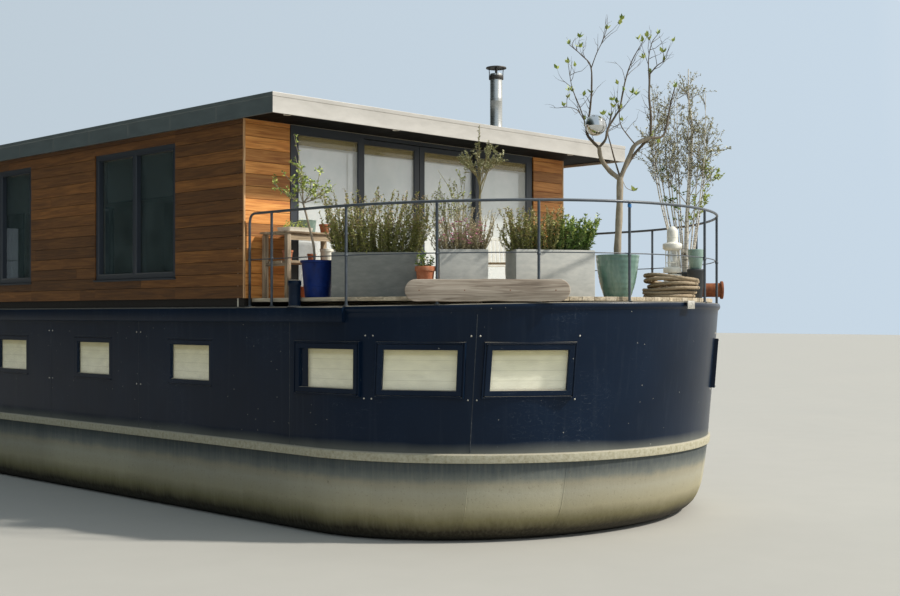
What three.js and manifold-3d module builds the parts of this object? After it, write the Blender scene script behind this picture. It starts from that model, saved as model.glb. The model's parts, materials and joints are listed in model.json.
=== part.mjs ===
// A houseboat: a flat-bottomed steel barge hull with a round bow, a cedar-clad cabin under a
// flat roof, and a railed foredeck with planters. It stands on its flat bottom, as it does at low tide.
// Millimetres. +X is port, the bow points along -Y, +Z is up, and the origin is the middle of the
// flat bottom.
import * as THREE from 'three';
import { mergeVertices } from 'three/addons/utils/BufferGeometryUtils.js';
import Module from 'manifold-3d';

const wasm = await Module();
wasm.setup();

// Hull: plan outlines are a half ellipse at each end and straight sides between
const HULL_LENGTH = 20000;
const HALF_BEAM = 3184;
const STERN_REACH = 2400;
const BOW_Y = HALF_BEAM - HULL_LENGTH / 2; // centre of the bow's half round
const STERN_Y = HULL_LENGTH / 2 - STERN_REACH; // centre of the stern's half round
const KNUCKLE_Z = 936;
const DECK_Z = 2745;
const SHEER = 57; // rise of the gunwale at the stem
const BOW_STEPS = 36;
const STERN_STEPS = 20;
const GAP = 0.3; // left between pieces that touch
const BITE = 20; // how far one solid runs into another before they are joined

// Plating: height, half beam, reach of the bow and reach of the stern
const PLATING = [
  { z: 0, beam: 3010, bow: 2440, stern: 1650 },
  { z: 60, beam: 3095, bow: 2590, stern: 1790 },
  { z: 180, beam: 3140, bow: 2730, stern: 1930 },
  { z: 420, beam: 3150, bow: 2850, stern: 2050 },
  { z: KNUCKLE_Z, beam: 3155, bow: 2950, stern: 2150 },
  { z: 2660, beam: 3155, bow: 3152, stern: 2370 },
];

// Rubbing band at the knuckle and half-round moulding at the gunwale, as rings of the topsides:
// height, how far it stands out from the plating, and its share of the sheer
const TOPSIDE_RINGS = [
  { z: KNUCKLE_Z + GAP, out: 30, sheer: 0 },
  { z: KNUCKLE_Z + 95, out: 30, sheer: 0 },
  { z: KNUCKLE_Z + 112, out: 0, sheer: 0 },
  { z: 2660, out: 0, sheer: 1 },
  { z: 2686, out: 22, sheer: 1 },
  { z: 2705, out: 30, sheer: 1 },
  { z: 2726, out: 30, sheer: 1 },
  { z: DECK_Z, out: 14, sheer: 1 },
  { z: DECK_Z, out: -60, sheer: 1 },
  { z: DECK_Z, out: -95, sheer: 0 },
];

// Hull windows: a raised flat frame round a pocket that the pane sits in
const PORT = { width: 1080, height: 650, z: 2005, proud: 4, pocketWidth: 890, pocketHeight: 460, depth: 60 };
const PORT_ANGLES = [5.6, 29.3, 52.9]; // degrees from the beam towards the stem, on each bow quarter
const PORT_SIDE_Y = [-4300, -1800, 700, 3200, 5700];

// Sponson along each side, from shoulder to shoulder, and the bollards on it
const SPONSON = { low: 2552, high: 2738, out: 62, bowDegrees: 11.2, sternDegrees: 15 };
const BOLLARD = { x: 3158, aft: 260, radius: 75, capRadius: 84, top: 3075 };

// Decks
const BOARD_TOP = 2855;
const BOARD_THICK = 48;
const BOARD_INSET = 105; // from the half beam
const BEARERS_X = [-2250, -1150, 0, 1150, 2250];
const BEARER_WIDTH = 70;
const BEARER_INSET = 150; // from the half beam

// Cabin
const WALL_HALF = 3200;
const WALL = 180;
const FRONT_Y = -5586; // outer face of the front wall
const REAR_Y = 6000;
const WALL_FOOT = DECK_Z + GAP;
const SOFFIT_Z = 5150;
const WALL_HEAD = SOFFIT_Z - GAP;
const FLOOR_TOP = BOARD_TOP;

// Roof: it stands out further to port than to starboard
const ROOF = { starboard: -3390, port: 3750, front: -6423, rear: 6840, top: 5340 };
const FASCIA = { low: 5112, high: 5368, thick: 30 };

// Front glazing: half width of the set, height of its head, and the bars between panes
const GLAZING_HALF = 2430;
const GLAZING_HEAD = 5100;
const SILL_TOP = 2900;
const SASH = { outer: 110, inner: 90, head: 60, thick: 55 };
const FIXED_PANE = [1235, 2307]; // from the middle
const PANE = 24;
const LEAF_WIDTH = 1238;
const TRACK = 62; // from the fixed panes' plane to the leaves' plane
const FRAME_DEPTH = 130;
const JAMB = 48;

// Cabin windows and rear door: centre, width, foot and head of each opening
const SIDE_WINDOWS = [
  { name: 'fore', y: -2976, width: 2100 },
  { name: 'aft', y: 1060, width: 2100 },
];
const WINDOW_FOOT = 3150;
const WINDOW_HEAD = 4980;
const WINDOW_BAR = 70;
const WINDOW_DEPTH = 80;
const WINDOW_SET_BACK = 25; // of the frame's face from the wall's
const REAR_WINDOW = { x: -1300, width: 2000 };
const REAR_DOOR = { x: 1300, width: 940, head: 4980 };
const DOOR_FRAME = 50;
const DOOR_LEAF = 50;
const DOOR_GAP = 8;

// Guard rails
const RAIL_RADIUS = 17;
const RAIL_LINE = 3140; // radius of the rail's line round the bow
const RAIL_TOP = 3930;
const RAIL_RISE = 45; // of the top tube towards the stem
const MID_ROD = { z: 3345, radius: 7 };
const BOW_POSTS = [11.2, 32.6, 54, 75.4]; // degrees from the beam towards the stem, on each bow quarter
const BOW_SIDE_POST_Y = BOW_Y + 736;

// Flue
const FLUE = { x: 2150, y: -5056, radius: 100, top: 6500 };
const FLUE_SIDES = 24;

const group = new THREE.Group();

// Finishes
const finish = (colour, roughness, metalness = 0, extra = {}) =>
  new THREE.MeshStandardMaterial({ color: colour, roughness, metalness, ...extra });
const navy = finish('#232f40', 0.35);
const silt = finish('#9b947a', 0.9);
const weatheredTimber = finish('#a5977e', 0.85);
const cedar = finish('#b5713d', 0.6);
const darkFrame = finish('#343c48', 0.4);
const paleFloor = finish('#c9b79a', 0.5);
const clearGlass = finish('#aebfc4', 0.05, 0, { transparent: true, opacity: 0.35 });
const roofMembrane = finish('#6d7072', 0.9);
const fasciaPaint = finish('#a9a8a1', 0.45);
const stainless = finish('#b6b8b8', 0.3, 0.9);
const railPaint = finish('#5f6c78', 0.45, 0.3);
const greySlab = finish('#a9b0ae', 0.8);
const foliage = finish('#7c8a4c', 0.9);
const blueMoulding = finish('#1c2f86', 0.45);
const greenGlaze = finish('#5f8f80', 0.25);
const terracotta = finish('#a8674a', 0.85);
const bark = finish('#9a8c79', 0.9);
const whitePaint = finish('#d9dad2', 0.55);
const mirrorSilver = finish('#d5d7d8', 0.08, 1);
const ropeFibre = finish('#6f664f', 0.95);
const rust = finish('#8a5336', 0.9);
const dustyPlastic = finish('#4a5056', 0.6);

// Solids
const closed = (geometry) => {
  const bare = geometry.clone();
  bare.deleteAttribute('normal');
  bare.deleteAttribute('uv');
  return mergeVertices(bare, 1e-4);
};

const solid = (geometry) => {
  const body = closed(geometry);
  const triVerts = new Uint32Array(body.index.array);
  const vertProperties = new Float32Array(body.attributes.position.array);
  return new wasm.Manifold(new wasm.Mesh({ numProp: 3, vertProperties, triVerts }));
};

const surface = (body) => {
  const mesh = body.getMesh();
  const geometry = new THREE.BufferGeometry();
  geometry.setAttribute('position', new THREE.BufferAttribute(mesh.vertProperties, 3));
  geometry.setIndex(new THREE.BufferAttribute(mesh.triVerts, 1));
  return geometry;
};

const join = (...pieces) => surface(pieces.map(solid).reduce((all, next) => all.add(next)));

const cut = (piece, ...tools) =>
  surface(tools.map(solid).reduce((rest, tool) => rest.subtract(tool), solid(piece)));

const add = (name, geometry, material) => {
  const mesh = new THREE.Mesh(geometry, material);
  mesh.name = name;
  group.add(mesh);
  return mesh;
};

const block = (x0, x1, y0, y1, z0, z1) =>
  new THREE.BoxGeometry(x1 - x0, y1 - y0, z1 - z0).translate((x0 + x1) / 2, (y0 + y1) / 2, (z0 + z1) / 2);

// A plate with rectangular openings, standing across the boat: outline and openings as x0, x1, z0, z1
const plateAcross = ([x0, x1, z0, z1], holes, y0, thick) =>
  cut(
    block(x0, x1, y0, y0 + thick, z0, z1),
    ...holes.map(([hx0, hx1, hz0, hz1]) => block(hx0, hx1, y0 - 1, y0 + thick + 1, hz0, hz1))
  );

// The same standing along the boat: outline and openings as y0, y1, z0, z1
const plateAlong = ([y0, y1, z0, z1], holes, x0, thick) =>
  cut(
    block(x0, x0 + thick, y0, y1, z0, z1),
    ...holes.map(([hy0, hy1, hz0, hz1]) => block(x0 - 1, x0 + thick + 1, hy0, hy1, hz0, hz1))
  );

const round = (radius, sides) =>
  new THREE.Shape(
    Array.from({ length: sides }, (_, i) => {
      const turn = (i / sides) * Math.PI * 2;
      return new THREE.Vector2(radius * Math.cos(turn), radius * Math.sin(turn));
    })
  );

const tube = (points, radius, sides, steps) =>
  new THREE.ExtrudeGeometry(round(radius, sides), {
    extrudePath: new THREE.CatmullRomCurve3(points, false, 'centripetal'),
    steps,
    bevelEnabled: false,
  });

const rod = (from, to, radiusFrom, radiusTo, sides = 8) => {
  const axis = new THREE.Vector3().subVectors(to, from);
  const upwards = new THREE.Vector3(0, 1, 0);
  const turn = new THREE.Quaternion().setFromUnitVectors(upwards, axis.clone().normalize());
  return new THREE.CylinderGeometry(radiusTo, radiusFrom, axis.length(), sides)
    .translate(0, axis.length() / 2, 0)
    .applyQuaternion(turn)
    .translate(from.x, from.y, from.z);
};

const upright = (x, y, z0, z1, radius, sides = 10) =>
  rod(new THREE.Vector3(x, y, z0), new THREE.Vector3(x, y, z1), radius, radius, sides);

const turned = (profile, x, y, z, sides = 20) =>
  new THREE.LatheGeometry(profile.map(([r, h]) => new THREE.Vector2(r, h)), sides)
    .rotateX(Math.PI / 2)
    .translate(x, y, z);

// A point on the plating: height, and the angle from the starboard beam round the bow
const mix = (a, b, share) => a + (b - a) * share;
const platingAt = (z) => {
  const upper = Math.max(1, PLATING.findIndex((row) => row.z >= z));
  const [low, high] = [PLATING[upper - 1], PLATING[upper]];
  const share = (z - low.z) / (high.z - low.z);
  return {
    beam: mix(low.beam, high.beam, share),
    bow: mix(low.bow, high.bow, share),
    stern: mix(low.stern, high.stern, share),
  };
};

// One closed outline of the hull, counterclockwise from above, starting on the starboard side
const hullOutline = (beam, bow, stern, z, sheer = 0) => {
  const points = [];
  for (let i = 0; i <= BOW_STEPS; i++) {
    const turn = (i / BOW_STEPS) * Math.PI;
    const rise = sheer * SHEER * Math.sin(turn) ** 2;
    points.push([-beam * Math.cos(turn), BOW_Y - bow * Math.sin(turn), z + rise]);
  }
  for (let i = 0; i <= STERN_STEPS; i++) {
    const turn = (i / STERN_STEPS) * Math.PI;
    points.push([beam * Math.cos(turn), STERN_Y + stern * Math.sin(turn), z]);
  }
  return points;
};

const loft = (rings) => {
  const count = rings[0].length;
  const positions = rings.flat(2);
  const faces = [];
  for (let r = 0; r + 1 < rings.length; r++) {
    for (let i = 0; i < count; i++) {
      const next = (i + 1) % count;
      const [a, b, c, d] = [r * count + i, r * count + next, (r + 1) * count + next, (r + 1) * count + i];
      faces.push(a, b, c, a, c, d);
    }
  }
  const centre = (ring) => {
    positions.push(0, 0, ring[0][2]);
    return positions.length / 3 - 1;
  };
  const foot = centre(rings[0]);
  const head = centre(rings.at(-1));
  const last = (rings.length - 1) * count;
  for (let i = 0; i < count; i++) {
    const next = (i + 1) % count;
    faces.push(foot, next, i, head, last + i, last + next);
  }
  const geometry = new THREE.BufferGeometry();
  geometry.setAttribute('position', new THREE.Float32BufferAttribute(positions, 3));
  geometry.setIndex(faces);
  return geometry;
};

// Hull
const portPlaces = () => {
  const places = [];
  for (const degrees of PORT_ANGLES) {
    for (const angle of [degrees, 180 - degrees]) {
      const turn = THREE.MathUtils.degToRad(angle);
      const at = (z) => {
        const row = platingAt(z);
        return new THREE.Vector3(-row.beam * Math.cos(turn), BOW_Y - row.bow * Math.sin(turn), z);
      };
      places.push({ low: at(PORT.z - PORT.height / 2), high: at(PORT.z + PORT.height / 2), angle: turn });
    }
  }
  for (const y of PORT_SIDE_Y) {
    for (const [side, angle] of [[-1, 0], [1, Math.PI]]) {
      const x = side * PLATING.at(-1).beam;
      const [low, high] = [-1, 1].map((end) => new THREE.Vector3(x, y, PORT.z + (end * PORT.height) / 2));
      places.push({ low, high, angle });
    }
  }
  return places;
};

// A block set square to the plating at one window: across, up, and out from the plating
const portBlock = ({ low, high, angle }, width, height, outFrom, outTo) => {
  const up = new THREE.Vector3().subVectors(high, low).normalize();
  const across = new THREE.Vector3(Math.sin(angle), -Math.cos(angle), 0);
  const out = new THREE.Vector3().crossVectors(across, up);
  const middle = new THREE.Vector3().addVectors(low, high).multiplyScalar(0.5);
  return new THREE.BoxGeometry(width, height, outTo - outFrom)
    .translate(0, 0, (outFrom + outTo) / 2)
    .applyMatrix4(new THREE.Matrix4().makeBasis(across, up, out).setPosition(middle));
};

// The sponson's plan: out along the plating and back inside it, drawn for the starboard side
const sponson = (side) => {
  const { beam, bow, stern } = platingAt(SPONSON.high - 100);
  const line = (out) => {
    const points = [];
    for (let i = 3; i >= 0; i--) {
      const turn = THREE.MathUtils.degToRad((SPONSON.bowDegrees * i) / 3);
      points.push([(beam + out) * Math.cos(turn), BOW_Y - (bow + out) * Math.sin(turn)]);
    }
    for (let i = 0; i <= 3; i++) {
      const turn = THREE.MathUtils.degToRad((SPONSON.sternDegrees * i) / 3);
      points.push([(beam + out) * Math.cos(turn), STERN_Y + (stern + out) * Math.sin(turn)]);
    }
    return points;
  };
  const outline = [...line(SPONSON.out), ...line(-60).reverse()];
  const shape = new THREE.Shape(outline.map(([x, y]) => new THREE.Vector2(side * x, y)));
  const depth = SPONSON.high - SPONSON.low;
  return new THREE.ExtrudeGeometry(shape, { depth, bevelEnabled: false }).translate(0, 0, SPONSON.low);
};

const bollard = (x, y) => {
  const { radius, capRadius, top } = BOLLARD;
  const profile = [[0, 0], [radius, 0], [radius, 270], [capRadius, 285], [capRadius, 325], [0, 340], [0, 0]];
  return turned(profile, x, y, top - 340, 16);
};

const hull = () => {
  const lower = PLATING.filter((row) => row.z <= KNUCKLE_Z);
  add('hull_lower', loft(lower.map((row) => hullOutline(row.beam, row.bow, row.stern, row.z))), silt);
  const rings = TOPSIDE_RINGS.map(({ z, out, sheer }) => {
    const row = platingAt(Math.min(z, PLATING.at(-1).z));
    return hullOutline(row.beam + out, row.bow + out, row.stern + out, z, sheer);
  });
  let body = solid(loft(rings));
  for (const place of portPlaces()) {
    body = body.add(solid(portBlock(place, PORT.width, PORT.height, -120, PORT.proud)));
    const pocket = portBlock(place, PORT.pocketWidth, PORT.pocketHeight, PORT.proud - PORT.depth, 90);
    body = body.subtract(solid(pocket));
  }
  for (const side of [-1, 1]) {
    body = body.add(solid(sponson(side)));
    for (const y of [BOW_Y + BOLLARD.aft, STERN_Y - BOLLARD.aft]) {
      body = body.add(solid(bollard(side * BOLLARD.x, y)));
    }
  }
  add('hull_topsides', surface(body), navy);
};

// Decks: boards on bearers
const deckEnd = (endY, reach, side, edgeY) => {
  const half = HALF_BEAM - BOARD_INSET;
  const outline = new THREE.Shape();
  outline.moveTo(-half, edgeY);
  outline.lineTo(-half, endY);
  const lastTurn = side < 0 ? 2 * Math.PI : 0;
  const curve = new THREE.EllipseCurve(0, endY, half, reach - BOARD_INSET, Math.PI, lastTurn, side > 0);
  for (const point of curve.getPoints(28).slice(1)) outline.lineTo(point.x, point.y);
  outline.lineTo(half, edgeY);
  outline.closePath();
  const boards = new THREE.ExtrudeGeometry(outline, { depth: BOARD_THICK, bevelEnabled: false });
  return boards.translate(0, 0, BOARD_TOP - BOARD_THICK);
};

const decks = () => {
  const bearers = (edgeY, centreY, reach) =>
    BEARERS_X.map((x) => {
      const half = Math.abs(x) + BEARER_WIDTH / 2;
      const run = (reach - BEARER_INSET) * Math.sqrt(1 - (half / (HALF_BEAM - BEARER_INSET)) ** 2);
      const end = centreY + Math.sign(centreY) * run;
      const [y0, y1] = [Math.min(edgeY, end), Math.max(edgeY, end)];
      const [x0, x1] = [x - BEARER_WIDTH / 2, x + BEARER_WIDTH / 2];
      return block(x0, x1, y0, y1, DECK_Z + GAP, BOARD_TOP - BOARD_THICK / 2);
    });
  const foreEdge = FRONT_Y - 4;
  const fore = deckEnd(BOW_Y, HALF_BEAM, -1, foreEdge);
  add('foredeck_boards', join(fore, ...bearers(foreEdge - 10, BOW_Y, HALF_BEAM)), weatheredTimber);
  const aftEdge = REAR_Y + 4;
  const aft = deckEnd(STERN_Y, STERN_REACH, 1, aftEdge);
  add('aft_deck_boards', join(aft, ...bearers(aftEdge + 10, STERN_Y, STERN_REACH)), weatheredTimber);
};

// Cabin walls
const walls = () => {
  const inner = WALL_HALF - WALL;
  const pier = (x0, x1) => block(x0, x1, FRONT_Y, FRONT_Y + WALL, WALL_FOOT, WALL_HEAD);
  add('wall_front_starboard', pier(-WALL_HALF, -GLAZING_HALF - GAP), cedar);
  add('wall_front_port', pier(GLAZING_HALF + GAP, WALL_HALF), cedar);
  const heights = [WINDOW_FOOT, WINDOW_HEAD];
  const sideHoles = SIDE_WINDOWS.map(({ y, width }) => [y - width / 2, y + width / 2, ...heights]);
  const side = [FRONT_Y + WALL + GAP, REAR_Y - WALL - GAP, WALL_FOOT, WALL_HEAD];
  add('wall_starboard', plateAlong(side, sideHoles, -WALL_HALF, WALL), cedar);
  add('wall_port', plateAlong(side, sideHoles, inner, WALL), cedar);
  const rearHoles = [
    [REAR_WINDOW.x - REAR_WINDOW.width / 2, REAR_WINDOW.x + REAR_WINDOW.width / 2, ...heights],
    [REAR_DOOR.x - REAR_DOOR.width / 2, REAR_DOOR.x + REAR_DOOR.width / 2, FLOOR_TOP, REAR_DOOR.head],
  ];
  const rear = [-WALL_HALF, WALL_HALF, WALL_FOOT, WALL_HEAD];
  add('wall_rear', plateAcross(rear, rearHoles, REAR_Y - WALL, WALL), cedar);
  const floor = block(-inner + GAP, inner - GAP, side[0], side[1], DECK_Z + GAP, FLOOR_TOP);
  add('cabin_floor', floor, paleFloor);
};

// Front glazing: two fixed panes outside and two leaves that slide behind them
const frontGlazing = () => {
  const frameBack = FRONT_Y + 20 + FRAME_DEPTH;
  const panePlane = FRONT_Y + 20;
  const paneHeight = [SILL_TOP, GLAZING_HEAD];
  const outerEdge = GLAZING_HALF - JAMB;
  const ringDepth = frameBack - panePlane;
  const ring = plateAcross(
    [-GLAZING_HALF, GLAZING_HALF, WALL_FOOT, WALL_HEAD],
    [[-outerEdge, outerEdge, ...paneHeight]],
    panePlane,
    ringDepth
  );
  const sashInner = 1130;
  const fixedHole = [...FIXED_PANE, SILL_TOP + 55, GLAZING_HEAD - SASH.head];
  const sash = (side) => {
    const [x0, x1] = side < 0 ? [-outerEdge - BITE, -sashInner] : [sashInner, outerEdge + BITE];
    const hole = side < 0 ? [-fixedHole[1], -fixedHole[0]] : [fixedHole[0], fixedHole[1]];
    const outline = [x0, x1, paneHeight[0] - BITE, paneHeight[1] + BITE];
    return plateAcross(outline, [[...hole, fixedHole[2], fixedHole[3]]], panePlane, SASH.thick);
  };
  add('front_door_frame', join(ring, sash(-1), sash(1)), darkFrame);
  for (const [side, name] of [[-1, 'starboard'], [1, 'port']]) {
    const across = (a, b) => (side < 0 ? [-b, -a] : [a, b]);
    const [gx0, gx1] = across(fixedHole[0] + GAP, fixedHole[1] - GAP);
    const paneY = panePlane + (SASH.thick - PANE) / 2;
    const pane = block(gx0, gx1, paneY, paneY + PANE, fixedHole[2] + GAP, fixedHole[3] - GAP);
    add(`front_glass_${name}`, pane, clearGlass);
    const [lx0, lx1] = across(6, 6 + LEAF_WIDTH);
    const [hx0, hx1] = across(6 + SASH.inner, 6 + LEAF_WIDTH - SASH.outer);
    const foot = SILL_TOP + 8;
    const head = paneHeight[1] - 8;
    const hole = [hx0, hx1, foot + SASH.head, head - SASH.head];
    const leafY = panePlane + TRACK;
    add(`front_leaf_${name}`, plateAcross([lx0, lx1, foot, head], [hole], leafY, SASH.thick), darkFrame);
    const glassY = leafY + (SASH.thick - PANE) / 2;
    add(
      `front_leaf_${name}_glass`,
      block(hx0 + GAP, hx1 - GAP, glassY, glassY + PANE, hole[2] + GAP, hole[3] - GAP),
      clearGlass
    );
  }
};

// Cabin windows: a frame with one bar, and the glass behind the bar
const windowFrame = (plate, from, to, face) => {
  const middle = (from + to) / 2;
  const [foot, head] = [WINDOW_FOOT + GAP, WINDOW_HEAD - GAP];
  const lights = [
    [from + WINDOW_BAR, middle - WINDOW_BAR / 2, foot + WINDOW_BAR, head - WINDOW_BAR],
    [middle + WINDOW_BAR / 2, to - WINDOW_BAR, foot + WINDOW_BAR, head - WINDOW_BAR],
  ];
  return plate([from, to, foot, head], lights, face, WINDOW_DEPTH);
};

const cabinWindows = () => {
  const spared = 2; // the glass stops this far inside the opening
  for (const { name, y, width } of SIDE_WINDOWS) {
    const [from, to] = [y - width / 2 + GAP, y + width / 2 - GAP];
    for (const [side, sideName] of [[-1, 'starboard'], [1, 'port']]) {
      const outer = side * (WALL_HALF - WINDOW_SET_BACK);
      const inner = outer - side * WINDOW_DEPTH;
      const [g0, g1] = [inner - side * GAP, inner - side * (GAP + PANE)].sort((a, b) => a - b);
      add(`window_${sideName}_${name}`, windowFrame(plateAlong, from, to, Math.min(outer, inner)), darkFrame);
      add(
        `window_${sideName}_${name}_glass`,
        block(g0, g1, from + spared, to - spared, WINDOW_FOOT + spared, WINDOW_HEAD - spared),
        clearGlass
      );
    }
  }
  const rearHalf = REAR_WINDOW.width / 2 - GAP;
  const [from, to] = [REAR_WINDOW.x - rearHalf, REAR_WINDOW.x + rearHalf];
  const y0 = REAR_Y - WINDOW_SET_BACK - WINDOW_DEPTH;
  add('window_rear', windowFrame(plateAcross, from, to, y0), darkFrame);
  add(
    'window_rear_glass',
    block(from + spared, to - spared, y0 - GAP - PANE, y0 - GAP, WINDOW_FOOT + spared, WINDOW_HEAD - spared),
    clearGlass
  );
};

// Rear door: hinged on its outboard edge, opening outwards
const rearDoor = () => {
  const half = REAR_DOOR.width / 2 - GAP;
  const [x0, x1] = [REAR_DOOR.x - half, REAR_DOOR.x + half];
  const foot = FLOOR_TOP + GAP;
  const head = REAR_DOOR.head - GAP;
  const frameY = REAR_Y - 120;
  const opening = [x0 + DOOR_FRAME, x1 - DOOR_FRAME, foot + 30, head - DOOR_FRAME];
  add('rear_door_frame', plateAcross([x0, x1, foot, head], [opening], frameY, 120), darkFrame);
  const leaf = [opening[0] + DOOR_GAP, opening[1] - DOOR_GAP, opening[2] + DOOR_GAP, opening[3] - DOOR_GAP];
  const light = [leaf[0] + 130, leaf[1] - 130, leaf[2] + 800, leaf[3] - 130];
  const leafY = REAR_Y - DOOR_LEAF;
  add('rear_door_leaf', plateAcross(leaf, [light], leafY, DOOR_LEAF), darkFrame);
  const glassY = leafY + (DOOR_LEAF - PANE) / 2;
  add(
    'rear_door_glass',
    block(light[0] + GAP, light[1] - GAP, glassY, glassY + PANE, light[2] + GAP, light[3] - GAP),
    clearGlass
  );
};

// Roof and its fascia
const roof = () => {
  const t = FASCIA.thick + GAP;
  const { starboard, port, front, rear, top } = ROOF;
  add('roof_slab', block(starboard + t, port - t, front + t, rear - t, SOFFIT_Z, top), roofMembrane);
  const { thick, low, high } = FASCIA;
  const around = block(starboard, port, front, rear, low, high);
  const within = block(starboard + thick, port - thick, front + thick, rear - thick, low - 1, high + 1);
  add('roof_fascia', cut(around, within), fasciaPaint);
};

// Flue: flashing on the roof, pipe, and a rain cap on four legs
const flue = () => {
  const { x, y, radius, top } = FLUE;
  const foot = ROOF.top + GAP;
  const bore = radius / Math.cos(Math.PI / FLUE_SIDES) + GAP;
  const collar = [[bore, 0], [230, 0], [230, 14], [150, 90], [bore, 150], [bore, 0]];
  add('flue_flashing', turned(collar, x, y, foot, FLUE_SIDES), dustyPlastic);
  add('flue_pipe', upright(x, y, foot, top, radius, FLUE_SIDES), stainless);
  const band = turned([[bore, 0], [118, 0], [118, 60], [bore, 60], [bore, 0]], x, y, top - 90, FLUE_SIDES);
  const plate = turned([[0, 0], [165, 0], [165, 16], [0, 30], [0, 0]], x, y, top + 100, FLUE_SIDES);
  const legs = [0, 1, 2, 3].map((i) => {
    const turn = ((i + 0.5) * Math.PI) / 2;
    return upright(x + 109 * Math.cos(turn), y + 109 * Math.sin(turn), top - 60, top + 108, 7, 6);
  });
  add('flue_cap', join(band, plate, ...legs), stainless);
};

// Guard rails: posts, a top tube and a mid rod along the edge of the deck
const bowLine = (line, z, sheer) => {
  const points = [new THREE.Vector3(-line, FRONT_Y - 40, z), new THREE.Vector3(-line, BOW_Y + 600, z)];
  for (let degrees = 0; degrees <= 180; degrees += 7.5) {
    const turn = THREE.MathUtils.degToRad(degrees);
    const rise = sheer * Math.sin(turn) ** 2;
    points.push(new THREE.Vector3(-line * Math.cos(turn), BOW_Y - line * Math.sin(turn), z + rise));
  }
  points.push(new THREE.Vector3(line, BOW_Y + 600, z), new THREE.Vector3(line, FRONT_Y - 40, z));
  return points;
};

const sternLine = (line, z) => {
  const inset = RAIL_LINE - line;
  const points = [new THREE.Vector3(-line, REAR_Y + 60, z), new THREE.Vector3(-line, STERN_Y - 400, z)];
  for (let degrees = 0; degrees <= 180; degrees += 10) {
    const turn = THREE.MathUtils.degToRad(degrees);
    points.push(
      new THREE.Vector3(-line * Math.cos(turn), STERN_Y + (STERN_REACH - 44 - inset) * Math.sin(turn), z)
    );
  }
  return points;
};

const rails = () => {
  const post = ([x, y], foot) => upright(x, y, foot, RAIL_TOP, RAIL_RADIUS, 8);
  const bow = [tube(bowLine(RAIL_LINE, RAIL_TOP, RAIL_RISE), RAIL_RADIUS, 8, 60)];
  for (const degrees of [...BOW_POSTS, ...BOW_POSTS.map((angle) => 180 - angle)]) {
    const turn = THREE.MathUtils.degToRad(degrees);
    const foot = DECK_Z + SHEER * Math.sin(turn) ** 2 + 1.5;
    const place = [-RAIL_LINE * Math.cos(turn), BOW_Y - RAIL_LINE * Math.sin(turn)];
    bow.push(upright(...place, foot, RAIL_TOP + RAIL_RISE * Math.sin(turn) ** 2, RAIL_RADIUS, 8));
  }
  for (const side of [-1, 1]) {
    bow.push(post([side * RAIL_LINE, BOW_SIDE_POST_Y], DECK_Z + GAP));
    bow.push(post([side * RAIL_LINE, FRONT_Y - 40], DECK_Z + GAP));
  }
  add('bow_rail', join(...bow), railPaint);
  const stern = [tube(sternLine(RAIL_LINE, RAIL_TOP), RAIL_RADIUS, 8, 44)];
  stern.push(post([-RAIL_LINE, REAR_Y + 60], DECK_Z + GAP));
  for (const degrees of [0, 36, 72, 108, 144, 180]) {
    const turn = THREE.MathUtils.degToRad(degrees);
    const place = [-RAIL_LINE * Math.cos(turn), STERN_Y + (STERN_REACH - 44) * Math.sin(turn)];
    stern.push(post(place, DECK_Z + GAP));
  }
  add('stern_rail', join(...stern), railPaint);
  const rodLine = RAIL_LINE - RAIL_RADIUS - MID_ROD.radius - GAP;
  add('bow_mid_rod', tube(bowLine(rodLine, MID_ROD.z, RAIL_RISE / 2), MID_ROD.radius, 6, 60), railPaint);
  add('stern_mid_rod', tube(sternLine(rodLine, MID_ROD.z), MID_ROD.radius, 6, 44), railPaint);
};

// Places round the bow: an angle from the starboard beam and a distance from the bow's centre
const roundBow = (degrees, distance) => {
  const turn = THREE.MathUtils.degToRad(degrees);
  return [-distance * Math.cos(turn), BOW_Y - distance * Math.sin(turn)];
};

// A mesh that stands at a place and faces a direction, given as an angle from the starboard beam
const face = (mesh, x, y, z, degrees) => {
  mesh.position.set(x, y, z);
  mesh.rotation.z = THREE.MathUtils.degToRad(degrees - 90);
};

const nameBoard = () => {
  const [length, height, thick] = [1900, 262, 32];
  const outline = new THREE.Shape();
  const straight = length / 2 - height / 2;
  outline.absarc(straight, 0, height / 2, -Math.PI / 2, Math.PI / 2);
  outline.absarc(-straight, 0, height / 2, Math.PI / 2, (3 * Math.PI) / 2);
  outline.closePath();
  const board = new THREE.ExtrudeGeometry(outline, { depth: thick, bevelEnabled: false, curveSegments: 8 });
  board.rotateX(Math.PI / 2);
  const facing = 43.2;
  const [x, y] = roundBow(facing, 3109);
  face(add('name_board', board, weatheredTimber), x, y, 2792 + height / 2, facing);
};

// Planters: an open trough with soil in it, and what grows there as one plain mass
const TROUGHS = [
  { name: 'a', x: -2450, y: BOW_Y - 446, facing: 41, length: 1050, height: 545, growth: 720 },
  { name: 'b', x: -2010, y: BOW_Y - 1480, facing: 50, length: 580, height: 560, growth: 620 },
  { name: 'c', x: -1180, y: BOW_Y - 2150, facing: 60, length: 1000, height: 560, growth: 640 },
];
const TROUGH = { depth: 400, wall: 28, soilBelow: 60 };

// The young olive tree in the middle trough: trunk, round crown and leader
const oliveTree = () => {
  const crown = new THREE.IcosahedronGeometry(1, 2).scale(290, 270, 165).translate(220, 40, 1150);
  return [upright(220, 40, 60, 1500, 12, 8), crown];
};

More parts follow.
